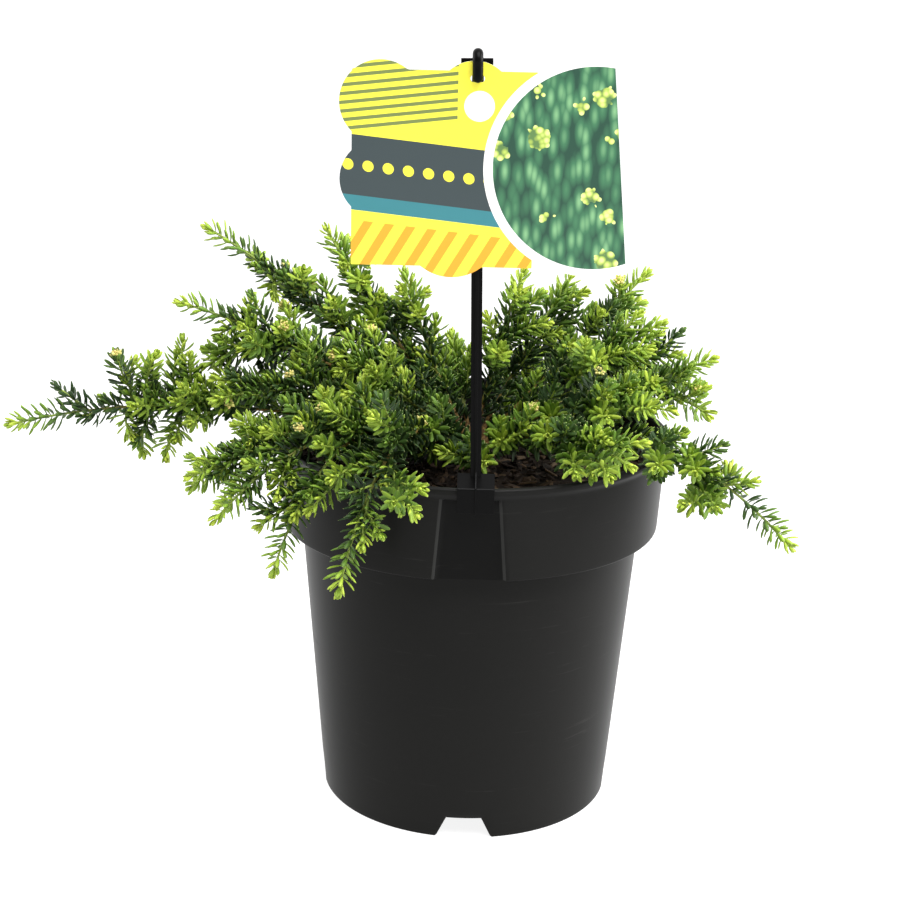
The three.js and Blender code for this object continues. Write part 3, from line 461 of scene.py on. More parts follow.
def soil_height(x, y):
    """The top's height from a few waves of different lengths."""
    waves = 1.2 * np.sin(0.11 * x + 0.6) * np.cos(0.13 * y - 0.4)
    waves += 0.5 * np.sin(0.37 * x - 0.21 * y) + 0.35 * np.cos(0.52 * y + 0.31 * x)
    return SOIL_TOP + 0.6 * waves


def soil_surface():
    """The soil's side, underside and uneven top as rings about the pot's axis."""
    turn = circle(SOIL_COLUMNS)
    edge = inner_radius(SOIL_EDGE_UP) - SOIL_EDGE_GAP
    section = [
        (0.01, FLOOR_TOP + 0.3), (FOOT_RADIUS - WALL, FLOOR_TOP + 0.3),
        (BODY_TOP_RADIUS - WALL - 0.6, BAND_BOTTOM + WALL), (BAND_RADIUS - WALL - 0.8, BAND_BOTTOM + 3),
    ]
    rings = []
    for r, z in section:
        rings.append(np.stack([r * np.cos(turn), r * np.sin(turn), np.full_like(turn, z)], axis=1))
    for step in range(SOIL_RINGS):
        radius = max(edge * (1 - step / (SOIL_RINGS - 1)), 0.01)
        x, y = radius * np.cos(turn), radius * np.sin(turn)
        crumb = 0.9 * (scatter(step * SOIL_COLUMNS + np.arange(SOIL_COLUMNS)) - 0.5)
        rings.append(np.stack([x, y, soil_height(x, y) + crumb], axis=1))
    points = np.vstack(rings)
    points[:, 1] = np.maximum(points[:, 1], PAD_LINE)
    return points, ring_faces(len(rings), SOIL_COLUMNS, capped=False)


def soil_finish():
    finish = Finish("bark_mix", Roughness=0.95, Specular_IOR_Level=0.25)
    crumbs = finish.noise(420.0, 4.0, 0.7)
    patches = finish.noise(60.0, 2.0)
    colour = finish.steps(crumbs, (0.3, (0.008, 0.005, 0.003)), (0.55, (0.035, 0.022, 0.013)),
                          (0.72, (0.1, 0.066, 0.04)))
    dark = finish.blend(patches, (0.006, 0.004, 0.003), colour)
    return finish.wear(Base_Color=dark, Normal=finish.bump(crumbs, 0.0015, 1.0))


build_piece("potting_mix", *soil_surface(), soil_finish(), "potting_mix", ["soil"])

# %% Bark chips
CHIP_COUNT = 900
CHIP_CIRCLE = 82.5
CHIP_LIMIT = 85.4


def bark_chips():
    """Flat wedges of bark lying on the soil, with a tint for each."""
    corners = np.array([
        [-1, -0.7, 0], [1, -1, 0], [0.8, 0.9, 0], [-0.7, 1, 0], [-0.8, -0.5, 1], [0.7, -0.8, 0.8],
        [0.9, 0.6, 1], [-0.9, 0.8, 0.7],
    ])
    quads = [[3, 2, 1, 0], [4, 5, 6, 7], [0, 1, 5, 4], [1, 2, 6, 5], [2, 3, 7, 6], [3, 0, 4, 7]]
    parts = []
    for chip in range(CHIP_COUNT):
        draw = scatter(chip * 11 + np.arange(11))
        radius = CHIP_CIRCLE * math.sqrt(draw[0])
        turn = 2 * math.pi * draw[1]
        x, y = radius * math.cos(turn), radius * math.sin(turn)
        if y < PAD_LINE + 5:
            continue
        half = np.array([1.2 + 4.2 * draw[2] ** 2, 0.8 + 1.9 * draw[3] ** 2, 0.5 + 0.9 * draw[4]])
        shape = corners * half * (0.8 + 0.4 * scatter(chip * 8 + np.arange(8)))[:, None]
        heading, pitch = 2 * math.pi * draw[5], 0.9 * (draw[6] - 0.5)
        c, s = math.cos(heading), math.sin(heading)
        cp, sp = math.cos(pitch), math.sin(pitch)
        tilt = np.array([[cp, 0, sp], [0, 1, 0], [-sp, 0, cp]])
        spin = np.array([[c, -s, 0], [s, c, 0], [0, 0, 1]])
        points = shape @ (spin @ tilt).T + [x, y, soil_height(x, y) + 0.2 + 0.7 * draw[7]]
        reach = np.hypot(points[:, 0], points[:, 1])
        points[:, :2] *= np.minimum(1, CHIP_LIMIT / reach)[:, None]
        parts.append((points, quads, np.tile([draw[8], draw[9], draw[10], 1], (8, 1))))
    return join_parts(parts)


def chip_finish():
    finish = Finish("bark_chip", Roughness=0.85, Specular_IOR_Level=0.3)
    shade = finish.tints()[0]
    grain = finish.noise(500.0, 3.0)
    colour = finish.steps(shade, (0.0, (0.01, 0.006, 0.004)), (0.55, (0.045, 0.026, 0.014)),
                          (0.85, (0.13, 0.08, 0.042)), (1.0, (0.24, 0.17, 0.1)))
    mottled = finish.blend(grain * 0.8, colour, (0.02, 0.013, 0.008))
    return finish.wear(Base_Color=mottled, Normal=finish.bump(grain, 0.0006, 0.8))


chip_points, chip_faces, chip_tints = bark_chips()
build_piece("bark_chips", chip_points, chip_faces, chip_finish(), "potting_mix", ["soil"], chip_tints,
            smooth=False)
print(f"soil: {len(chip_faces) // 6} chips")

# %% [markdown]
# ## How the shrub grows
# Its stems leave one low woody foot, arch outwards and branch. Each spray is written down as its main
# stem's bend and tip, then each side shoot as a place along that stem and its own tip. The points began
# as places judged on the photo, with guessed depths, that were turned into millimetres; many have
# moved since, and the four sprays at the back are guesses. Curves through them give stems that look
# grown, where straight sticks look like wire.

# %% The sprays, in millimetres from the pot's axis
CROWN = np.array([0, 0, 162.0])
BARE_WOOD = 22
MAIN_RADII = (1.05, 0.5)
SHOOT_RADII = (0.65, 0.45)

SPRAYS = {
    "runner_left": [
        (-117, -8, 197), (-209, -12, 173), (0.70, -153, -8, 203), (0.66, -142, -16, 208),
        (0.60, -135, 2, 204), (0.55, -127, -12, 207), (0.72, -154, -16, 170), (0.66, -150, -6, 159),
        (0.58, -137, -22, 163), (0.62, -150, -26, 187), (0.50, -129, -26, 196), (0.44, -112, -30, 192),
        (0.50, -125, -28, 180), (0.42, -118, 8, 196),
    ],
    "upper_left": [
        (-65, 24, 224), (-123, 20, 259), (0.72, -91, 8, 230), (0.62, -78, 8, 242), (0.66, -77, 38, 229),
        (0.52, -88, 22, 222), (0.45, -64, 2, 230), (0.80, -101, 30, 242),
    ],
    "mid_left": [
        (-76, -6, 215), (-133, -2, 229), (0.72, -101, 2, 231), (0.68, -103, -16, 222),
        (0.75, -115, -9, 216), (0.60, -85, -14, 222), (0.55, -103, -20, 213), (0.60, -121, -6, 201),
        (0.50, -87, 10, 226),
    ],
    "left_shoulder": [
        (-62, -20, 196), (-115, -22, 199), (0.70, -113, -34, 193), (0.60, -105, -9, 196),
        (0.55, -80, -14, 208), (0.45, -78, 2, 205),
    ],
    "left_middle": [
        (-61, -30, 172), (-104, -38, 183), (0.72, -102, -52, 178), (0.66, -95, -58, 181),
        (0.40, -66, -36, 199), (0.55, -96, -24, 181),
    ],
    "low_left": [
        (-55, -45, 186), (-117, -60, 172), (0.80, -122, -50, 158), (0.72, -120, -67, 168),
        (0.55, -88, -60, 188), (0.74, -104, -58, 160),
    ],
    "left_over_rim": [
        (-62, -54, 207), (-107, -84, 155), (0.76, -107, -70, 157), (0.66, -81, -82, 166),
        (0.45, -74, -62, 193),
    ],
    "droop_left": [
        (-56, -68, 222), (-83, -84, 132), (0.74, -90, -76, 150), (0.42, -62, -62, 199),
        (0.66, -74, -86, 158),
    ],
    "front_bud": [
        (-36, -70, 200), (-67, -87, 161), (0.50, -48, -40, 205), (0.40, -22, -52, 191),
        (0.68, -58, -88, 176),
    ],
    "droop_front": [
        (-34, -88, 226), (-54, -99, 130), (0.56, -22, -108, 168), (0.42, -41, -84, 202),
        (0.72, -44, -102, 152),
    ],
    "front_upright": [
        (-31, -23, 194), (-45, -46, 212), (0.50, -32, -24, 205), (0.60, -54, -54, 203),
    ],
    "left_inner": [
        (-34, -4, 206), (-63, -12, 209), (0.55, -47, 0, 218), (0.50, -38, -14, 213), (0.70, -58, 4, 214),
        (0.66, -60, -24, 204),
    ],
    "top_left": [
        (-42, 30, 213), (-70, 34, 257), (0.85, -61, 43, 250), (0.78, -60, 22, 243), (0.70, -52, 14, 237),
        (0.62, -45, 18, 229), (0.55, -46, 6, 219), (0.80, -49, 48, 240), (0.60, -60, 40, 214),
        (0.50, -44, 52, 218),
    ],
    "top_middle": [
        (-22, 14, 203), (-33, 28, 239), (0.82, -23, 22, 231), (0.75, -34, 12, 234), (0.70, -26, 10, 224),
        (0.62, -37, 34, 223),
    ],
    "behind_stake": [
        (-6, 22, 187), (-11, 36, 208), (0.60, -20, 46, 201), (0.50, 0, 30, 204),
    ],
    "right_upright": [
        (7, 12, 200), (21, 14, 243), (0.80, 20, 2, 236), (0.72, 30, 21, 232), (0.55, 5, 8, 224),
        (0.60, 33, 5, 222), (0.45, 12, -6, 211),
    ],
    "right_top": [
        (21, 22, 202), (44, 30, 239), (0.78, 50, 21, 233), (0.74, 42, 42, 229), (0.60, 39, 13, 215),
        (0.65, 57, 38, 216),
    ],
    "right_long": [
        (40, 18, 201), (78, 24, 242), (0.82, 65, 16, 240), (0.70, 77, 34, 226), (0.62, 57, 10, 226),
        (0.50, 44, -2, 213),
    ],
    "right_side": [
        (41, -2, 195), (73, -4, 229), (0.70, 84, 4, 223), (0.62, 78, -14, 216), (0.50, 55, -32, 214),
        (0.55, 94, 10, 207),
    ],
    "right_arm": [
        (57, -8, 191), (107, -6, 210), (0.74, 99, -20, 200), (0.66, 104, -28, 190), (0.60, 79, -28, 204),
        (0.50, 68, -38, 203), (0.70, 96, 8, 198),
    ],
    "runner_right": [
        (72, -48, 213), (140, -52, 138), (0.58, 91, -46, 187), (0.64, 95, -66, 176), (0.72, 90, -76, 164),
        (0.70, 105, -64, 160), (0.52, 77, -80, 182), (0.78, 112, -38, 170),
    ],
    "front_right": [
        (36, -54, 196), (66, -84, 183), (0.64, 57, -90, 180), (0.52, 43, -86, 180), (0.70, 72, -72, 190),
        (0.60, 56, -78, 192), (0.42, 32, -64, 190),
    ],
    "right_cushion": [
        (42, -19, 200), (86, -44, 196), (0.62, 76, -56, 200), (0.55, 58, -48, 203), (0.48, 57, -58, 196),
        (0.38, 33, -42, 190),
    ],
    "front_short": [
        (9, -27, 171), (24, -42, 186), (0.60, 12, -42, 180),
    ],
    "front_star": [
        (-2, -34, 172), (6, -62, 176), (0.60, -14, -54, 178),
    ],
    "back_left": [
        (-62, 46, 182), (-104, 72, 188), (0.60, -84, 50, 199), (0.70, -98, 56, 180), (0.50, -76, 82, 190),
        (0.40, -46, 58, 192),
    ],
    "back_middle": [
        (-18, 50, 192), (-32, 104, 176), (0.60, -46, 84, 180), (0.60, -10, 92, 184), (0.45, -36, 60, 197),
    ],
    "back_right": [
        (22, 55, 184), (46, 108, 183), (0.60, 26, 88, 190), (0.70, 63, 90, 186), (0.45, 8, 66, 192),
    ],
    "right_back": [
        (52, 38, 184), (94, 64, 184), (0.60, 84, 40, 191), (0.70, 76, 84, 186), (0.48, 54, 62, 198),
        (0.40, 34, 50, 205),
    ],
}


# %% Curves for the stems
class Stem:
    """A curved stem with places and directions by distance along it."""

    def __init__(self, start, bend, tip, foot_radius, tip_radius, head_start=0.0):
        self.head_start = head_start
        self.controls = [np.asarray(point, float) for point in (start, bend, tip)]
        self.radii = (foot_radius, tip_radius)
        self.marks = np.linspace(0, 1, 41)
        gaps = np.diff(self.at(self.marks), axis=0)
        self.distances = np.concatenate([[0], np.cumsum(np.linalg.norm(gaps, axis=1))])
        self.length = self.distances[-1]

    def at(self, mark):
        mark = np.asarray(mark, float)[..., None]
        a, b, c = self.controls
        return (1 - mark) ** 2 * a + 2 * mark * (1 - mark) * b + mark ** 2 * c

    def heading(self, mark):
        mark = np.asarray(mark, float)[..., None]
        a, b, c = self.controls
        along = (1 - mark) * (b - a) + mark * (c - b)
        return along / np.linalg.norm(along, axis=-1, keepdims=True)

    def mark_at(self, distance):
        return np.interp(distance, self.distances, self.marks)

    def radius(self, mark):
        return self.radii[0] + (self.radii[1] - self.radii[0]) * np.asarray(mark)


def side_shoot(parent, along, tip, foot_radius, tip_radius):
    """A shoot leaves along its parent and turns towards its own tip."""
    start = parent.at(along)
    reach = np.asarray(tip, float) - start
    half = np.linalg.norm(reach) / 2
    heading = 0.4 * parent.heading(along) + 0.6 * reach / (2 * half)
    bend = start + half * heading / np.linalg.norm(heading)
    return Stem(start, bend, tip, foot_radius, tip_radius)


def grow(bend, tip, *shoots):
    """The main stem of a spray, then its side shoots."""
    main = Stem(CROWN, bend, tip, *MAIN_RADII)
    return [main] + [side_shoot(main, along, end, *SHOOT_RADII) for along, *end in shoots]


WALL_INNER = 81.5
GROUND_TOP = 157.5
CLIP_ROOM = {"x": 2, "half": 7.8, "top": 181, "front": -93, "back": -79}
STICK_ROOM = {"half": 4.5, "front": -90, "back": -82}


def clear_of_hardware(points, margin):
    """True for points that stay out of the pot's wall, the soil, the clip and the stick."""
    x, y, z = np.asarray(points, float).T
    out = np.hypot(x, y)
    wall = (z < POT_HEIGHT + margin) & (out < RIM_RADIUS + margin) & (out > WALL_INNER - margin)
    ground = (out < RIM_RADIUS) & (z < GROUND_TOP + margin)
    clip = (np.abs(x - CLIP_ROOM["x"]) < CLIP_ROOM["half"] + margin) & (z < CLIP_ROOM["top"])
    clip &= (y < CLIP_ROOM["back"] + margin) & (y > CLIP_ROOM["front"] - margin)
    stick = np.abs(x) < STICK_ROOM["half"] + margin
    stick &= (y < STICK_ROOM["back"] + margin) & (y > STICK_ROOM["front"] - margin)
    return ~(wall | ground | clip | stick)


sprays = {name: grow(*points) for name, points in SPRAYS.items()}
total_length = sum(stem.length for stems in sprays.values() for stem in stems)
print(f"{len(sprays)} sprays, {total_length / 1000:.2f} m of stem")


# %% Directions square to a stem
def across_and_up(heading):
    """Two directions square to each heading."""
    level = np.cross([0, 0, 1.0], heading)
    size = np.linalg.norm(level, axis=-1, keepdims=True)
    across = np.where(size > 0.05, level / np.maximum(size, 1e-9), [1.0, 0, 0])
    return across, np.cross(heading, across)


# %% [markdown]
# The side shoots in the list are the ones that can be told apart. Between them sit short twigs, too many to
# place one by one, so a rule puts one every so often on alternate sides, and skips any that would run
# into the pot or the stick.

# %% Short twigs between the side shoots
TWIG_STEP = 8
CLEAN_MAIN_END = 36
CLEAN_SHOOT_END = 17
TWIG_LENGTH = 15
TWIG_HEAD_START = 0.75
TWIG_SHIFT = 5
TWIG_TURN = 2.4
TWIG_RADII = (0.55, 0.4)
TWIG_ROOM = 1.0
TWIGS_FROM = 5


def short_twigs(stem, first, clean_end, seed):
    """Twigs along a stem, up to the clean comb of leaves at its end."""
    twigs = []
    for number, distance in enumerate(np.arange(first, stem.length - clean_end, TWIG_STEP)):
        draw = scatter(seed * 17 + number * 3 + np.arange(3))
        mark = stem.mark_at(distance + TWIG_SHIFT * draw[0])
        start, axis = stem.at(mark), stem.heading(mark)
        across, up = across_and_up(axis)
        turn = number * TWIG_TURN + seed + draw[1]
        around = math.cos(turn) * across + math.sin(turn) * up
        length = TWIG_LENGTH * (0.7 + 0.6 * draw[2])
        bend = start + 0.5 * length * (0.75 * axis + 0.65 * around)
        tip = bend + 0.5 * length * (0.8 * axis + 0.35 * around + [0, 0, 0.45])
        head_start = TWIG_HEAD_START * scatter(seed * 5 + number + 0.5)
        twig = Stem(start, bend, tip, *TWIG_RADII, head_start)
        if clear_of_hardware(twig.at([0.5, 0.8, 1.0]), TWIG_ROOM).all():
            twigs.append(twig)
    return twigs


for order, stems in enumerate(sprays.values()):
    twigs = short_twigs(stems[0], BARE_WOOD, CLEAN_MAIN_END, order)
    for shoot, stem in enumerate(stems[1:]):
        twigs += short_twigs(stem, TWIGS_FROM, CLEAN_SHOOT_END, 50 * order + shoot)
    stems += twigs
print(f"{sum(len(stems) for stems in sprays.values())} stems with their twigs")


# %% A tube round a stem
def tube(stem, first, last, steps, sides, age_at):
    """Points, faces and tints of a stem between two marks, closed at both ends."""
    marks = np.linspace(first, last, steps)
    centre, heading = stem.at(marks), stem.heading(marks)
    across, up = across_and_up(heading)
    turn = circle(sides)
    knots = 1 + 0.1 * (scatter(stem.length + np.arange(steps)) - 0.5)
    radius = (stem.radius(marks) * knots)[:, None, None]
    ring = np.cos(turn)[None, :, None] * across[:, None] + np.sin(turn)[None, :, None] * up[:, None]
    points = (centre[:, None] + radius * ring).reshape(-1, 3)
    ages = np.repeat(age_at(marks), sides)
    tints = np.stack([ages, np.full_like(ages, 0.5), np.zeros_like(ages), np.ones_like(ages)], axis=1)
    return points, ring_faces(steps, sides), tints


# %% [markdown]
# ## Bark and green stems
# Where the stems leave the soil the bark is thin, tan and a little orange. Further out it is green, and
# near each tip yellow-green. One number stored on every point, its age, runs through a colour ramp. A
# painted image would need unwrapping, and would stretch on such thin tubes.

# %% The woody foot
def wood_finish():
    finish = Finish("tan_bark", Roughness=0.75, Specular_IOR_Level=0.3)
    flakes = finish.noise(700.0, 3.0)
    colour = finish.steps(flakes, (0.3, (0.05, 0.028, 0.01)), (0.5, (0.14, 0.08, 0.024)),
                          (0.7, (0.24, 0.15, 0.045)))
    return finish.wear(Base_Color=colour, Normal=finish.bump(flakes, 0.0004, 0.7))


def woody_foot():
    """The trunk in the soil, with the bare start of every limb."""
    trunk = Stem((0, 0, 146), (0.4, 0.2, 155), (0, 0, 164.5), 5.4, 3.6)
    parts = [tube(trunk, 0, 1, 8, 16, np.ones_like)]
    for main, *_ in sprays.values():
        limb = Stem(*main.controls, 1.35, 0.6)
        parts.append(tube(limb, 0, main.mark_at(BARE_WOOD), 8, 8, np.ones_like))
    return join_parts(parts)


foot_points, foot_faces, foot_tints = woody_foot()
build_piece("woody_foot", foot_points, foot_faces, wood_finish(), "bark", ["crown"], foot_tints)
print(f"woody foot: {len(foot_faces)} faces")


# %% The stems of each spray
YOUNG_LENGTH = 36


def shoot_age(stem):
    """0 at the tip and 1 where the stem is old."""
    return lambda marks: np.clip((1 - np.asarray(marks)) * stem.length / (2 * YOUNG_LENGTH), 0, 1)


def stem_finish():
    finish = Finish("green_stem", Roughness=0.55, Specular_IOR_Level=0.4)
    age = finish.tints()[0]
    colour = finish.steps(age, (0.0, (0.3, 0.4, 0.06)), (0.35, (0.17, 0.24, 0.035)),
                          (0.75, (0.2, 0.19, 0.035)), (1.0, (0.22, 0.14, 0.03)))
    return finish.wear(Base_Color=colour)


def dress_spray(kind, name, parts, finish):
    """Joins what one spray carries into a piece, and gives its number of points."""
    points, faces, tints = join_parts(parts)
    build_piece(f"{kind}_{name}", points, faces, finish, "foliage", [f"spray_{name}"], tints)
    return len(points)


green_stem = stem_finish()
for name, stems in sprays.items():
    first = stems[0].mark_at(BARE_WOOD)
    parts = [tube(stems[0], first, 0.995, 22, 8, shoot_age(stems[0]))]
    parts += [tube(stem, 0, 0.99, 12, 6, shoot_age(stem)) for stem in stems[1:]]
    dress_spray("stems", name, parts, green_stem)

# %% [markdown]
# ## One leaf
# The leaf is a narrow blade, widest past its middle, folded to a shallow channel along the top with a keel
# beneath, and it ends in a blunt tip with a pale dot. A flat card would be cheaper, but it would glint
# wrongly and vanish edge-on. A few stations along the blade with four corners each give channel and keel.

# %% The leaf's template
STATIONS = np.array([0.0, 0.22, 0.5, 0.76, 0.93])
HALF_WIDTHS = np.array([0.26, 0.6, 0.96, 1.0, 0.6])
LEAF_KEEL = 0.55
LEAF_CHANNEL = 0.1
LEAF_MARGIN = 0.25


def leaf_template():
    """Unit leaf: distance along, across and above the midrib, with its faces."""
    rows = []
    for along, half in zip(STATIONS, HALF_WIDTHS):
        rows += [(along, -half, LEAF_MARGIN * half), (along, 0, -LEAF_CHANNEL * half)]
        rows += [(along, half, LEAF_MARGIN * half), (along, 0, -LEAF_KEEL * half)]
    rows.append((1.0, 0, -0.1))
    faces = [[0, 1, 2, 3]]
    for station in range(len(STATIONS) - 1):
        for corner in range(4):
            a = station * 4 + corner
            b = station * 4 + (corner + 1) % 4
            faces.append([b, a, a + 4, b + 4])
    last = 4 * (len(STATIONS) - 1)
    faces += [[last + (corner + 1) % 4, last + corner, last + 4] for corner in range(4)]
    return np.array(rows), faces


LEAF_ROWS, LEAF_FACES = leaf_template()
print(f"leaf: {len(LEAF_FACES)} faces")

# %% [markdown]
# ## Leaves along a stem
# Leaves leave the stem one by one, each turned by the golden angle from the last, so no two stand in line.
# Old leaves stand out wide and dark, young ones stand up and close into a bright brush at the tip. On a
# level shoot they sweep up to the light. A particle system could scatter them, but this rule is the plant's.

# %% Where the leaves grow
GOLDEN_ANGLE = math.radians(137.508)
LEAF_STEP = 0.6
LEAF_LENGTH = 8.0
LEAF_HALF_WIDTH = 1.05
OPENING_LENGTH = 7.0
CLOSED_LEAN = 16
OPEN_LEAN = 72
LEAN_SPREAD = 10
LEAF_RISE = 0.24
LEAF_TURN_SPREAD = 0.5
TIP_SHRINK = 9
LEAF_ROOM = 0.2


def leaf_places(stem, first, seed):
    """Root, direction, the stem's heading, length, age and a draw for each leaf of a stem."""
    distance = np.arange(first, stem.length + 0.5, LEAF_STEP)
    count = len(distance)
    draw = scatter(seed * 7.3 + np.arange(count))
    second = scatter(seed * 3.1 + 500 + np.arange(count))
    third = scatter(seed * 5.7 + 900 + np.arange(count))
    marks = stem.mark_at(np.minimum(distance, stem.length))
    axis = stem.heading(marks)
    across, up = across_and_up(axis)
    turn = np.arange(count) * GOLDEN_ANGLE + LEAF_TURN_SPREAD * (draw - 0.5) + seed
    around = np.cos(turn)[:, None] * across + np.sin(turn)[:, None] * up
    to_tip = stem.length - distance
    grown = np.clip(to_tip / OPENING_LENGTH, 0, 1)
    degrees = CLOSED_LEAN + (OPEN_LEAN - CLOSED_LEAN) * grown ** 0.75 + LEAN_SPREAD * (second - 0.5)
    lean = np.radians(degrees)
    level = np.sqrt(np.clip(1 - axis[:, 2] ** 2, 0, 1))
    direction = np.cos(lean)[:, None] * axis + np.sin(lean)[:, None] * around
    direction[:, 2] += LEAF_RISE * level * grown
    direction /= np.linalg.norm(direction, axis=1, keepdims=True)
    size = 0.4 + 0.6 * np.clip(to_tip / TIP_SHRINK, 0, 1) ** 0.7
    length = LEAF_LENGTH * size * (0.8 + 0.34 * third)
    age = np.clip(stem.head_start + to_tip / YOUNG_LENGTH, 0, 1)
    root = stem.at(marks) + around * (stem.radius(marks) * 0.6)[:, None]
    return root, direction, axis, length, age, second


def leaves_on(stem, first, seed, thin):
    """Points, faces and tints of all the leaves on one stem."""
    places = leaf_places(stem, first, seed)
    root, age = places[0], places[4]
    keep = scatter(seed * 9.1 + np.arange(len(root))) >= thin * age
    root, direction, axis, length, age, draw = (field[keep] for field in places)
    above = axis - (axis * direction).sum(1)[:, None] * direction
    above /= np.linalg.norm(above, axis=1, keepdims=True)
    across = np.cross(direction, above)
    along = LEAF_ROWS[:, 0]
    curl = 0.2 + 0.2 * (draw - 0.3)
    width = LEAF_HALF_WIDTH * (0.78 + 0.22 * length / LEAF_LENGTH) * (0.9 + 0.2 * draw)
    points = root[:, None] + (along[None] * length[:, None])[..., None] * direction[:, None]
    lift = curl[:, None] * length[:, None] * along[None] ** 2 + width[:, None] * LEAF_ROWS[None, :, 2]
    points += lift[..., None] * above[:, None]
    points += (width[:, None] * LEAF_ROWS[None, :, 1])[..., None] * across[:, None]
    corners = len(LEAF_ROWS)
    free = clear_of_hardware(points.reshape(-1, 3), LEAF_ROOM).reshape(-1, corners).all(axis=1)
    points, age, draw, root = points[free], age[free], draw[free], root[free]
    faces = [[leaf * corners + corner for corner in face] for leaf in range(len(root)) for face in LEAF_FACES]
    tints = np.ones((len(root), corners, 4))
    tints[..., 0] = age[:, None]
    tints[..., 1] = draw[:, None]
    tints[..., 2] = along[None]
    return points.reshape(-1, 3), faces, tints.reshape(-1, 4)


# %% [markdown]
# The leaf colour comes from three stored numbers: age, a draw, and the place along the blade. Old leaves
# are a deep green, young ones yellow-green, and the very tip is pale. Real leaves pass a little light,
# which a faint glow of the colour's own would fake, but it would show in shade.

# %% The leaves' finish
PALE_TIP_FROM = 0.97


def leaf_finish():
    finish = Finish("needle_leaf", Specular_IOR_Level=0.26, Roughness=0.5)
    age, draw, along = finish.tints()
    varied = age + (draw - 0.5) * 0.3
    colour = finish.steps(varied, (0.0, (0.42, 0.53, 0.06)), (0.2, (0.25, 0.38, 0.035)),
                          (0.45, (0.105, 0.2, 0.022)), (0.75, (0.042, 0.088, 0.016)),
                          (1.0, (0.023, 0.05, 0.015)))
    base = finish.blend((along * -4.0 + 1.0).math("MAXIMUM", 0.0) * 0.35, colour, (0.14, 0.2, 0.035))
    tipped = finish.blend(along.above(PALE_TIP_FROM), base, (0.5, 0.52, 0.2))
    return finish.wear(Base_Color=tipped)


needle_leaf = leaf_finish()
leaf_count = 0
for order, (name, stems) in enumerate(sprays.items()):
    parts = [leaves_on(stems[0], BARE_WOOD - 6, 31 * order + 1, 0.35)]
    parts += [leaves_on(stem, 1.5, 31 * order + 2 + shoot, 0.1) for shoot, stem in enumerate(stems[1:])]
    leaf_count += dress_spray("leaves", name, parts, needle_leaf) // len(LEAF_ROWS)
print(f"{leaf_count} leaves")

# %% [markdown]
# ## Flower buds
# A few shoots end in a tight head of buds round the tip: small cream-yellow drops, some flushed with
# pink, that come before the flowers. Each drop is a short spindle set on the shoot's tip and turned
# outward. A sphere would do from afar, but the drops are longer than wide, and their points catch the light.

# %% Bud heads
BUDS_IN_A_HEAD = 14
BUD_LENGTH = 2.9
BUD_RADIUS = 0.72
BUD_SIDES = 8
BUD_SECTION = [(0.0, 0.35), (0.3, 0.9), (0.6, 1.0), (0.85, 0.62), (1.0, 0.12)]
SHARE_WITH_BUDS = 0.055
BUD_OPENING = 75
BUD_SINK = 0.4


def bud_head(stem, seed):
    """Points, faces and tints of the buds on one tip."""
    parts = []
    axis = stem.heading(1.0)
    across, up = across_and_up(axis)
    for number in range(BUDS_IN_A_HEAD):
        opening = math.radians(BUD_OPENING) * math.sqrt(number / BUDS_IN_A_HEAD)
        turn = number * GOLDEN_ANGLE + seed
        around = math.cos(turn) * across + math.sin(turn) * up
        direction = math.cos(opening) * axis + math.sin(opening) * around
        side, top = across_and_up(direction)
        size = 0.8 + 0.4 * scatter(seed * 3.3 + number)
        points = []
        for along, wide in BUD_SECTION:
            centre = stem.at(1.0) - BUD_SINK * axis + size * BUD_LENGTH * along * direction
            for corner in circle(BUD_SIDES):
                outward = math.cos(corner) * side + math.sin(corner) * top
                points.append(centre + size * BUD_RADIUS * wide * outward)
        along = np.repeat([place for place, _ in BUD_SECTION], BUD_SIDES)
        flush = np.full_like(along, scatter(seed + 0.7 * number))
        tints = np.stack([along, flush, along, np.ones_like(along)], axis=1)
        parts.append((np.array(points), ring_faces(len(BUD_SECTION), BUD_SIDES), tints))
    return join_parts(parts)


def bud_finish():
    finish = Finish("cream_bud", Roughness=0.55, Specular_IOR_Level=0.3)
    along, flush = finish.tints()[:2]
    colour = finish.steps(along, (0.0, (0.2, 0.29, 0.04)), (0.45, (0.46, 0.5, 0.1)), (1.0, (0.66, 0.6, 0.22)))
    return finish.wear(Base_Color=finish.blend(flush * along * 0.5, colour, (0.6, 0.3, 0.13)))


cream_bud = bud_finish()
heads = 0
for order, (name, stems) in enumerate(sprays.items()):
    budded = [stem for number, stem in enumerate(stems)
              if scatter(order * 11 + number * 2.3) < SHARE_WITH_BUDS]
    if budded:
        parts = [bud_head(stem, order + 3 * number) for number, stem in enumerate(budded)]
        dress_spray("buds", name, parts, cream_bud)
        heads += len(budded)
print(f"{heads} heads of buds")

# %% [markdown]
# ## The stick and its clip
# The stick is a thin black moulding with a cross-shaped section, a short bar at its head and a hook that
# holds the tag. At its foot a little hood clips over the rim, with one thin rib down its middle. Boxes
# joined by hand would do; here each part is a small prism or a tube, and a bevel modifier rounds the edges.

# %% Prisms and tubes for small mouldings
STICK_X = 1.9
STICK_Y = -84.2
STICK_FOOT = 176.5
STICK_LEAN = -0.0202
CLIP_X = 2
CLIP_WIDTH = 15.6
CLIP_FRONT = -92.2
CLIP_WALL = 1.5
CLIP_BOTTOM = 163.4
HOOK_RADIUS = 2.1
HOOK_TOP = 353
HOOK_END = 339.8
TAG_FRONT = -87.2
TAG_THICKNESS = 0.8
PEG_HEIGHT = 341.2
PEG_HALF = (1.7, 0.9)
BAR_HALF = 2.3
BAR_WEB = 0.65
BAR_DEPTH = 1.7
BAR_ENDS = (-0.5, 169.5)
CROSSBAR = (-6.6, 6.0, 168.9, 172.3)
CROSSBAR_HALF = 1.2
HOOK_SIDES = 20
SOFT_EDGE = 0.22


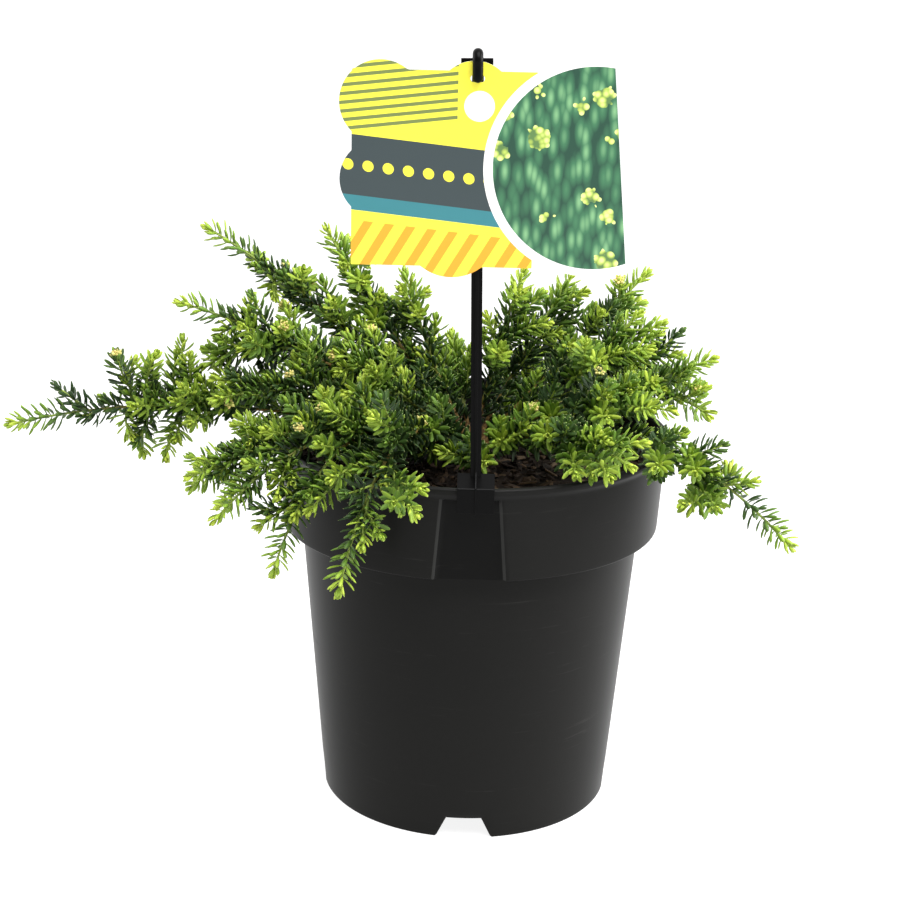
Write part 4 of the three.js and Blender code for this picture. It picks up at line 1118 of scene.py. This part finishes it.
def prism(outline, low, high, place):
    """A closed prism from a flat outline; place turns (u, v, w) into a point."""
    count = len(outline)
    points = [place(u, v, low) for u, v in outline] + [place(u, v, high) for u, v in outline]
    return np.array(points, float), ring_faces(2, count)


def lean(points):
    """Leans points about the stick's foot, from the stick's own frame into the pot's."""
    c, s = math.cos(STICK_LEAN), math.sin(STICK_LEAN)
    x, y, z = np.asarray(points, float).T
    return np.stack([STICK_X + c * x + s * z, STICK_Y + y, STICK_FOOT - s * x + c * z], axis=1)


def hook_part():
    """A round rod that goes up from the bar, over the tag's top edge and down in front of it."""
    prong = TAG_FRONT - 0.3 - HOOK_RADIUS - STICK_Y
    rise = HOOK_TOP - HOOK_RADIUS - STICK_FOOT
    half = -prong / 2
    path = [(0.3, z) for z in np.linspace(rise - half - 6, rise - half, 4)]
    path += [(half * (math.cos(a) - 1) + 0.3 * math.cos(a), rise - half + half * math.sin(a))
             for a in np.linspace(0.15, math.pi, 12)]
    end = HOOK_END - STICK_FOOT + HOOK_RADIUS
    path += [(prong, z) for z in np.linspace(rise - half - 1, end, 5)]
    radii = [HOOK_RADIUS] * len(path)
    for angle in (0.5, 0.9, 1.25, 1.5):
        path.append((prong, end - HOOK_RADIUS * math.sin(angle)))
        radii.append(HOOK_RADIUS * math.cos(angle))
    path = np.array(path)
    heading = np.gradient(path, axis=0)
    heading /= np.linalg.norm(heading, axis=1, keepdims=True)
    points = []
    for (y, z), (dy, dz), radius in zip(path, heading, radii):
        for t in circle(HOOK_SIDES):
            out = radius * math.sin(t)
            points.append((radius * math.cos(t), y + out * dz, z - out * dy))
    return lean(points), ring_faces(len(path), HOOK_SIDES)


# %% The stick's parts
def bar_part():
    """The upright, a cross in section."""
    wide, web, deep = BAR_HALF, BAR_WEB, BAR_DEPTH
    quarter = [(web, -deep), (web, -web), (wide, -web), (wide, web), (web, web), (web, deep)]
    section = [(-wide, -web), (-web, -web), (-web, -deep)] + quarter
    section += [(-web, deep), (-web, web), (-wide, web)]
    points, faces = prism(section, *BAR_ENDS, lambda u, v, w: (u, v, w))
    return lean(points), faces


def plate_part(left, right, low, high, front, back):
    """A leaned block between sides, heights and depths."""
    corners = [(left, low), (right, low), (right, high), (left, high)]
    points, faces = prism(corners, front, back, lambda u, v, w: (u, w, v))
    return lean(points), [face[::-1] for face in faces]


def crossbar_part():
    return plate_part(*CROSSBAR, -CROSSBAR_HALF, CROSSBAR_HALF)


def peg_part():
    across, up = PEG_HALF
    low, high = PEG_HEIGHT - up - STICK_FOOT, PEG_HEIGHT + up - STICK_FOOT
    return plate_part(-across, across, low, high, TAG_FRONT - 2.4 - STICK_Y, -1.9)


def hood_part():
    front, back = CLIP_FRONT, STICK_Y + 1.9
    outline = [
        (front, CLIP_BOTTOM), (front + CLIP_WALL, CLIP_BOTTOM), (front + CLIP_WALL, POT_HEIGHT + 0.3),
        (back - CLIP_WALL, POT_HEIGHT + 2.6), (back - CLIP_WALL, CLIP_BOTTOM + 1.5),
        (back, CLIP_BOTTOM + 1.5),
        (back, POT_HEIGHT + 5), (front + 0.4, POT_HEIGHT + 1.3), (front, POT_HEIGHT + 0.9),
    ]
    half = CLIP_WIDTH / 2
    return prism(outline, CLIP_X - half, CLIP_X + half, lambda u, v, w: (w, u, v))


def rib_part():
    front = CLIP_FRONT - 0.45
    outline = [
        (front, CLIP_BOTTOM - 0.5), (CLIP_FRONT + 0.3, CLIP_BOTTOM - 0.5), (CLIP_FRONT + 0.8, POT_HEIGHT + 1),
        (STICK_Y, POT_HEIGHT + 3), (STICK_Y, POT_HEIGHT + 24), (STICK_Y - 1.95, POT_HEIGHT + 24),
        (STICK_Y - 2.2, POT_HEIGHT + 6.5), (front, POT_HEIGHT + 1.6),
    ]
    return prism(outline, STICK_X - 0.4, STICK_X + 0.4, lambda u, v, w: (w, u, v))


def stick_finish():
    finish = Finish("black_plastic", Base_Color=(0.0025, 0.0025, 0.0025, 1.0), Specular_IOR_Level=0.06)
    return finish.wear(Roughness=finish.noise(60.0) * 0.14 + 0.24)


black_plastic = stick_finish()
stick_parts = {
    "stick_bar": bar_part(), "stick_crossbar": crossbar_part(), "stick_peg": peg_part(),
    "clip_hood": hood_part(), "clip_rib": rib_part(),
}
for name, (points, faces) in stick_parts.items():
    part = build_piece(name, points, faces, black_plastic, "stick_plastic", ["stick"], smooth=False)
    bevel = part.modifiers.new("soft_edges", "BEVEL")
    bevel.width = SOFT_EDGE * MM
    bevel.segments = 2
    bevel.limit_method = "ANGLE"
build_piece("stick_hook", *hook_part(), black_plastic, "stick_plastic", ["stick"])
print(f"stick: {len(stick_parts) + 1} parts")

# %% [markdown]
# ## The tag's shape
# The tag is die-cut card: a rectangle with round lobes, joined to a large disc whose right side is cut
# straight. From one point inside, every edge of the outline can be seen, so a ray in each direction meets
# each shape's far edge and the farthest is the outline. A Boolean of cylinders would leave flat facets.

# %% The tag's outline
CARD = (-50.6, 22, 266.4, 344.1)
DISC = (45.4, 306.8, 43.2)
DISC_CUT = ((60.2, 262), (51.4, 352))
LOBES = [(-39.2, 331.4, 16.4), (-39.6, 300.9, 15.7), (-10.4, 281.4, 19.4), (-2.4, 332.9, 15.1)]
SLOT = (-1.5, PEG_HEIGHT, 5.8, 2.8)
TAG_RAYS = 900
TAG_EYE = (10.0, 306.0)


def tag_outline():
    """Points round the tag, in x and z."""
    eye = np.array(TAG_EYE)
    turn = circle(TAG_RAYS)
    ray = np.stack([np.cos(turn), np.sin(turn)], axis=1)
    left, right, bottom, top = CARD
    with np.errstate(divide="ignore"):
        to_side = np.where(ray[:, 0] > 0, (right - eye[0]) / ray[:, 0], (left - eye[0]) / ray[:, 0])
        to_end = np.where(ray[:, 1] > 0, (top - eye[1]) / ray[:, 1], (bottom - eye[1]) / ray[:, 1])
    reach = np.minimum(to_side, to_end)
    for x, z, radius in [DISC, *LOBES]:
        offset = eye - [x, z]
        along = ray @ offset
        inside = along ** 2 - offset @ offset + radius ** 2
        far = -along + np.sqrt(np.maximum(inside, 0))
        reach = np.where(inside > 0, np.maximum(reach, far), reach)
    (low_x, low_z), (high_x, high_z) = DISC_CUT
    normal = np.array([high_z - low_z, low_x - high_x])
    facing = ray @ normal
    to_cut = ((np.array([low_x, low_z]) - eye) @ normal) / np.where(np.abs(facing) > 1e-9, facing, 1e-9)
    reach = np.where(facing > 0, np.minimum(reach, to_cut), reach)
    return eye + ray * reach[:, None]


def slot_outline():
    x, z, width, height = SLOT
    shift, radius = (width - height) / 2, height / 2
    turn = np.linspace(-1.57, 1.57, 9)
    right = [(x + shift + radius * math.cos(a), z + radius * math.sin(a)) for a in turn]
    left = [(x - shift - radius * math.cos(a), z - radius * math.sin(a)) for a in turn]
    return right + left


def tag_plate():
    """A flat plate with a slot: both faces filled, then the two edges joined."""
    outer, inner = tag_outline().tolist(), slot_outline()
    rim = len(outer)
    edges = [(i, (i + 1) % rim) for i in range(rim)]
    edges += [(rim + i, rim + (i + 1) % len(inner)) for i in range(len(inner))]
    flat, _, triangles, *_ = delaunay_2d_cdt(outer + inner, edges, [], 1, 1e-7)
    flat = np.array([tuple(point) for point in flat])
    kept = []
    x, z, width, height = SLOT
    for triangle in triangles:
        middle = flat[list(triangle)].mean(axis=0)
        if abs(middle[0] - x) > width / 2 - 0.05 or abs(middle[1] - z) > height / 2 - 0.05:
            kept.append(list(triangle))
    count = len(flat)
    front = np.stack([flat[:, 0], np.full(count, TAG_FRONT), flat[:, 1]], axis=1)
    back = front + [0, TAG_THICKNESS, 0]
    faces = kept + [[corner + count for corner in face[::-1]] for face in kept]
    for a, b in edges:
        faces.append([b, a, a + count, b + count])
    return np.vstack([front, back]), faces


tag_points, tag_faces = tag_plate()
print(f"tag: {tag_points[:, 0].min():.1f} to {tag_points[:, 0].max():.1f} mm across")

# %% [markdown]
# ## The tag's print
# Nursery tags carry bright flat colours and a picture of the plant. This one has a plain design of its own:
# yellow ground, a dark and a teal stripe, dots and bars, and leafy green in the disc. Each shape is a
# formula of x and z, so the edges stay sharp at any size. An image would need a file and an unwrap.

# %% The print's formulas
YELLOW = (0.93, 0.85, 0.055)
AMBER = (0.8, 0.36, 0.02)
SLATE = (0.035, 0.052, 0.056)
TEAL = (0.035, 0.2, 0.23)
OLIVE = (0.16, 0.21, 0.06)
WHITE = (0.9, 0.9, 0.88)
# Painted shade: the back of the white card is coloured mid grey, as if in shade.
PAINTED_SHADE_CARD_BACK = (0.5, 0.5, 0.47)
FINE_LINES = {"pitch": 3.4, "share": 0.42, "above": 325.5, "left_of": -9.0}
SPOT = (-0.5, 330.5, 6.0)
TEAL_STRIP = (283.5, 289.5)
SLATE_BAND = (289.5, 313.5)
DOTS = {"pitch": 8.0, "row": 301.5, "radius": 2.2, "left_of": 6.0}
BARS = {"pitch": 9.0, "share": 0.45, "below": 279.5}
DISC_RING = (0.6, 3.1)


def tag_finish():
    finish = Finish("printed_card", Roughness=0.36, Specular_IOR_Level=0.5)
    place = finish.place()
    x, _, z = finish.split(place)
    x = (x - float(AXIS[0])) / MM
    z = z / MM

    def around(centre_x, centre_z):
        return ((x - centre_x) * (x - centre_x) + (z - centre_z) * (z - centre_z)).math("SQRT")

    def between(field, low, high):
        return field.above(low) * field.below(high)

    slope = z - x * 0.12
    lines = (slope / FINE_LINES["pitch"]).math("FRACT").below(FINE_LINES["share"])
    lines = lines * slope.above(FINE_LINES["above"])
    colour = finish.blend(lines * x.below(FINE_LINES["left_of"]), YELLOW, OLIVE)
    colour = finish.blend(around(*SPOT[:2]).below(SPOT[2]), colour, WHITE)
    low = z + x * 0.1
    colour = finish.blend(between(low, *TEAL_STRIP), colour, TEAL)
    colour = finish.blend(between(low, *SLATE_BAND), colour, SLATE)
    cell_x = (x / DOTS["pitch"]).math("FRACT") * DOTS["pitch"] - DOTS["pitch"] / 2
    row = low - DOTS["row"]
    dots = (cell_x * cell_x + row * row).math("SQRT").below(DOTS["radius"])
    colour = finish.blend(dots * x.below(DOTS["left_of"]), colour, YELLOW)
    foot = (x - z * 0.6) / BARS["pitch"]
    colour = finish.blend(foot.math("FRACT").below(BARS["share"]) * low.below(BARS["below"]), colour, AMBER)

    stretch = {"Vector": place, "Rotation": (0, 0.9, 0), "Scale": (300, 1, 110)}
    leaves = finish.node("ShaderNodeMapping", {}, stretch)
    cells = finish.node("ShaderNodeTexVoronoi", {}, {"Vector": leaves, "Scale": 1.0})
    foliage = finish.steps(cells, (0.1, (0.2, 0.42, 0.2)), (0.45, (0.045, 0.17, 0.08)),
                           (0.8, (0.012, 0.06, 0.035)))
    blooms = finish.node("ShaderNodeTexVoronoi", {}, {"Vector": place, "Scale": 62.0})
    beads = finish.node("ShaderNodeTexVoronoi", {}, {"Vector": place, "Scale": 380.0})
    bead_colour = finish.steps(beads, (0.2, (0.78, 0.88, 0.3)), (0.5, (0.42, 0.55, 0.1)),
                               (0.75, (0.1, 0.2, 0.06)))
    foliage = finish.blend((beads * 0.14 + blooms).below(0.36), foliage, bead_colour)
    disc = around(*DISC[:2])
    colour = finish.blend(disc.below(DISC[2] + DISC_RING[0]), colour, WHITE)
    colour = finish.blend(disc.below(DISC[2] - DISC_RING[1]), colour, foliage)
    facing = finish.split(finish.node("ShaderNodeNewGeometry", {}, {}, "Normal"))[1]
    # Painted shade: faces that look backwards get a grey in place of the white card.
    return finish.wear(Base_Color=finish.blend(facing.below(-0.5), PAINTED_SHADE_CARD_BACK, colour))


build_piece("hanging_tag", tag_points, tag_faces, tag_finish(), "tag_card", ["tag"], smooth=False)

# %% [markdown]
# ## Floor, light and camera
# The photograph is a studio cut-out on white: light from all sides, a bright table under the pot and only a
# breath of shadow. A wide floor and a white sky give that, with large soft panels at both sides that draw
# the bright edges on the pot, and one above. The camera's lens and place were worked out from the pot's
# circles.

# %% Floor
def floor_finish():
    finish = Finish("pale_floor", Roughness=0.9, Specular_IOR_Level=0.1, Emission_Color=(1.0, 1.0, 1.0, 1.0),
                    Emission_Strength=0.88)
    ripple = finish.noise(2.0, 1.0)
    return finish.wear(Base_Color=finish.blend(ripple, (0.27, 0.27, 0.27), (0.29, 0.29, 0.29)))


FLOOR_REACH = 6.0
floor_mesh = bpy.data.meshes.new("floor")
floor_corners = [(x * FLOOR_REACH, y * FLOOR_REACH, 0) for x, y in ((-1, -1), (1, -1), (1, 1), (-1, 1))]
floor_mesh.from_pydata(floor_corners, [], [[0, 1, 2, 3]])
floor = add_object("floor", floor_mesh)
floor_mesh.materials.append(floor_finish())

# %% Light
WHITE_WAY = (0.3, 0.9, 0.45)
DIM_TO_WHITE = {"From Min": -0.75, "From Max": 0.15, "To Min": 0.12, "To Max": 1.0}
POT_MIDDLE = (0, 0, 0.15)


def soft_panel(name, place, target, size, power):
    """A large soft light at a place, turned to a target."""
    light = bpy.data.lights.new(name, "AREA")
    light.shape = "RECTANGLE"
    light.size, light.size_y = size
    light.energy = power
    panel = add_object(name, light)
    panel.location = place
    aim = np.array(target) - np.array(place)
    panel.rotation_euler = Vector(aim).to_track_quat("-Z", "Y").to_euler()


def white_studio():
    """White walls behind and beside the pot, a dim room in front, and plain white where the lens looks."""
    world = bpy.data.worlds.new("white_studio")
    world.use_nodes = True
    tree = world.node_tree
    coordinates = tree.nodes.new("ShaderNodeTexCoord")
    dot = tree.nodes.new("ShaderNodeVectorMath")
    dot.operation = "DOT_PRODUCT"
    dot.inputs[1].default_value = WHITE_WAY
    ramp = tree.nodes.new("ShaderNodeMapRange")
    ramp.interpolation_type = "SMOOTHSTEP"
    for socket, value in DIM_TO_WHITE.items():
        ramp.inputs[socket].default_value = value
    lens = tree.nodes.new("ShaderNodeLightPath")
    brighter = tree.nodes.new("ShaderNodeMath")
    brighter.operation = "MAXIMUM"
    tree.links.new(coordinates.outputs["Generated"], dot.inputs[0])
    tree.links.new(dot.outputs["Value"], ramp.inputs["Value"])
    tree.links.new(ramp.outputs["Result"], brighter.inputs[0])
    tree.links.new(lens.outputs["Is Camera Ray"], brighter.inputs[1])
    background = tree.nodes["Background"]
    background.inputs["Color"].default_value = (1.0, 1.0, 1.0, 1.0)
    tree.links.new(brighter.outputs[0], background.inputs["Strength"])
    return world


bpy.context.scene.world = white_studio()
soft_panel("left_panel", (-1.3, 0.1, 0.6), POT_MIDDLE, (1.2, 1.0), 13)
soft_panel("right_panel", (1.3, 0.0, 0.6), POT_MIDDLE, (1.2, 1.0), 30)
soft_panel("top_panel", (0.3, -0.5, 1.4), (0, 0, 0.2), (1.0, 1.0), 28)
bpy.context.scene.view_settings.view_transform = "Standard"

# %% Camera
LENS = 78.642
CAMERA_PLACE = np.array([0, -862.4597, 429.6787])
YAW, PITCH, ROLL = -0.0117, 0.3006, 0.0224
SENSOR_WIDTH = 36


def aim_camera():
    ahead = np.array([math.sin(YAW) * math.cos(PITCH), math.cos(YAW) * math.cos(PITCH), -math.sin(PITCH)])
    level = np.array([math.cos(YAW), -math.sin(YAW), 0])
    up = np.cross(level, ahead)
    right = math.cos(ROLL) * level + math.sin(ROLL) * up
    top = -math.sin(ROLL) * level + math.cos(ROLL) * up
    camera = add_object("camera", bpy.data.cameras.new("camera"))
    camera.data.lens = LENS
    camera.data.sensor_width = SENSOR_WIDTH
    camera.data.clip_start = 0.01
    matrix = np.eye(4)
    matrix[:3, 0], matrix[:3, 1], matrix[:3, 2] = right, top, -ahead
    matrix[:3, 3] = CAMERA_PLACE * MM + AXIS
    camera.matrix_world = Matrix(matrix.tolist())
    bpy.context.scene.camera = camera


aim_camera()
print(f"camera {np.linalg.norm(CAMERA_PLACE) / 1000:.2f} m from the pot's foot")
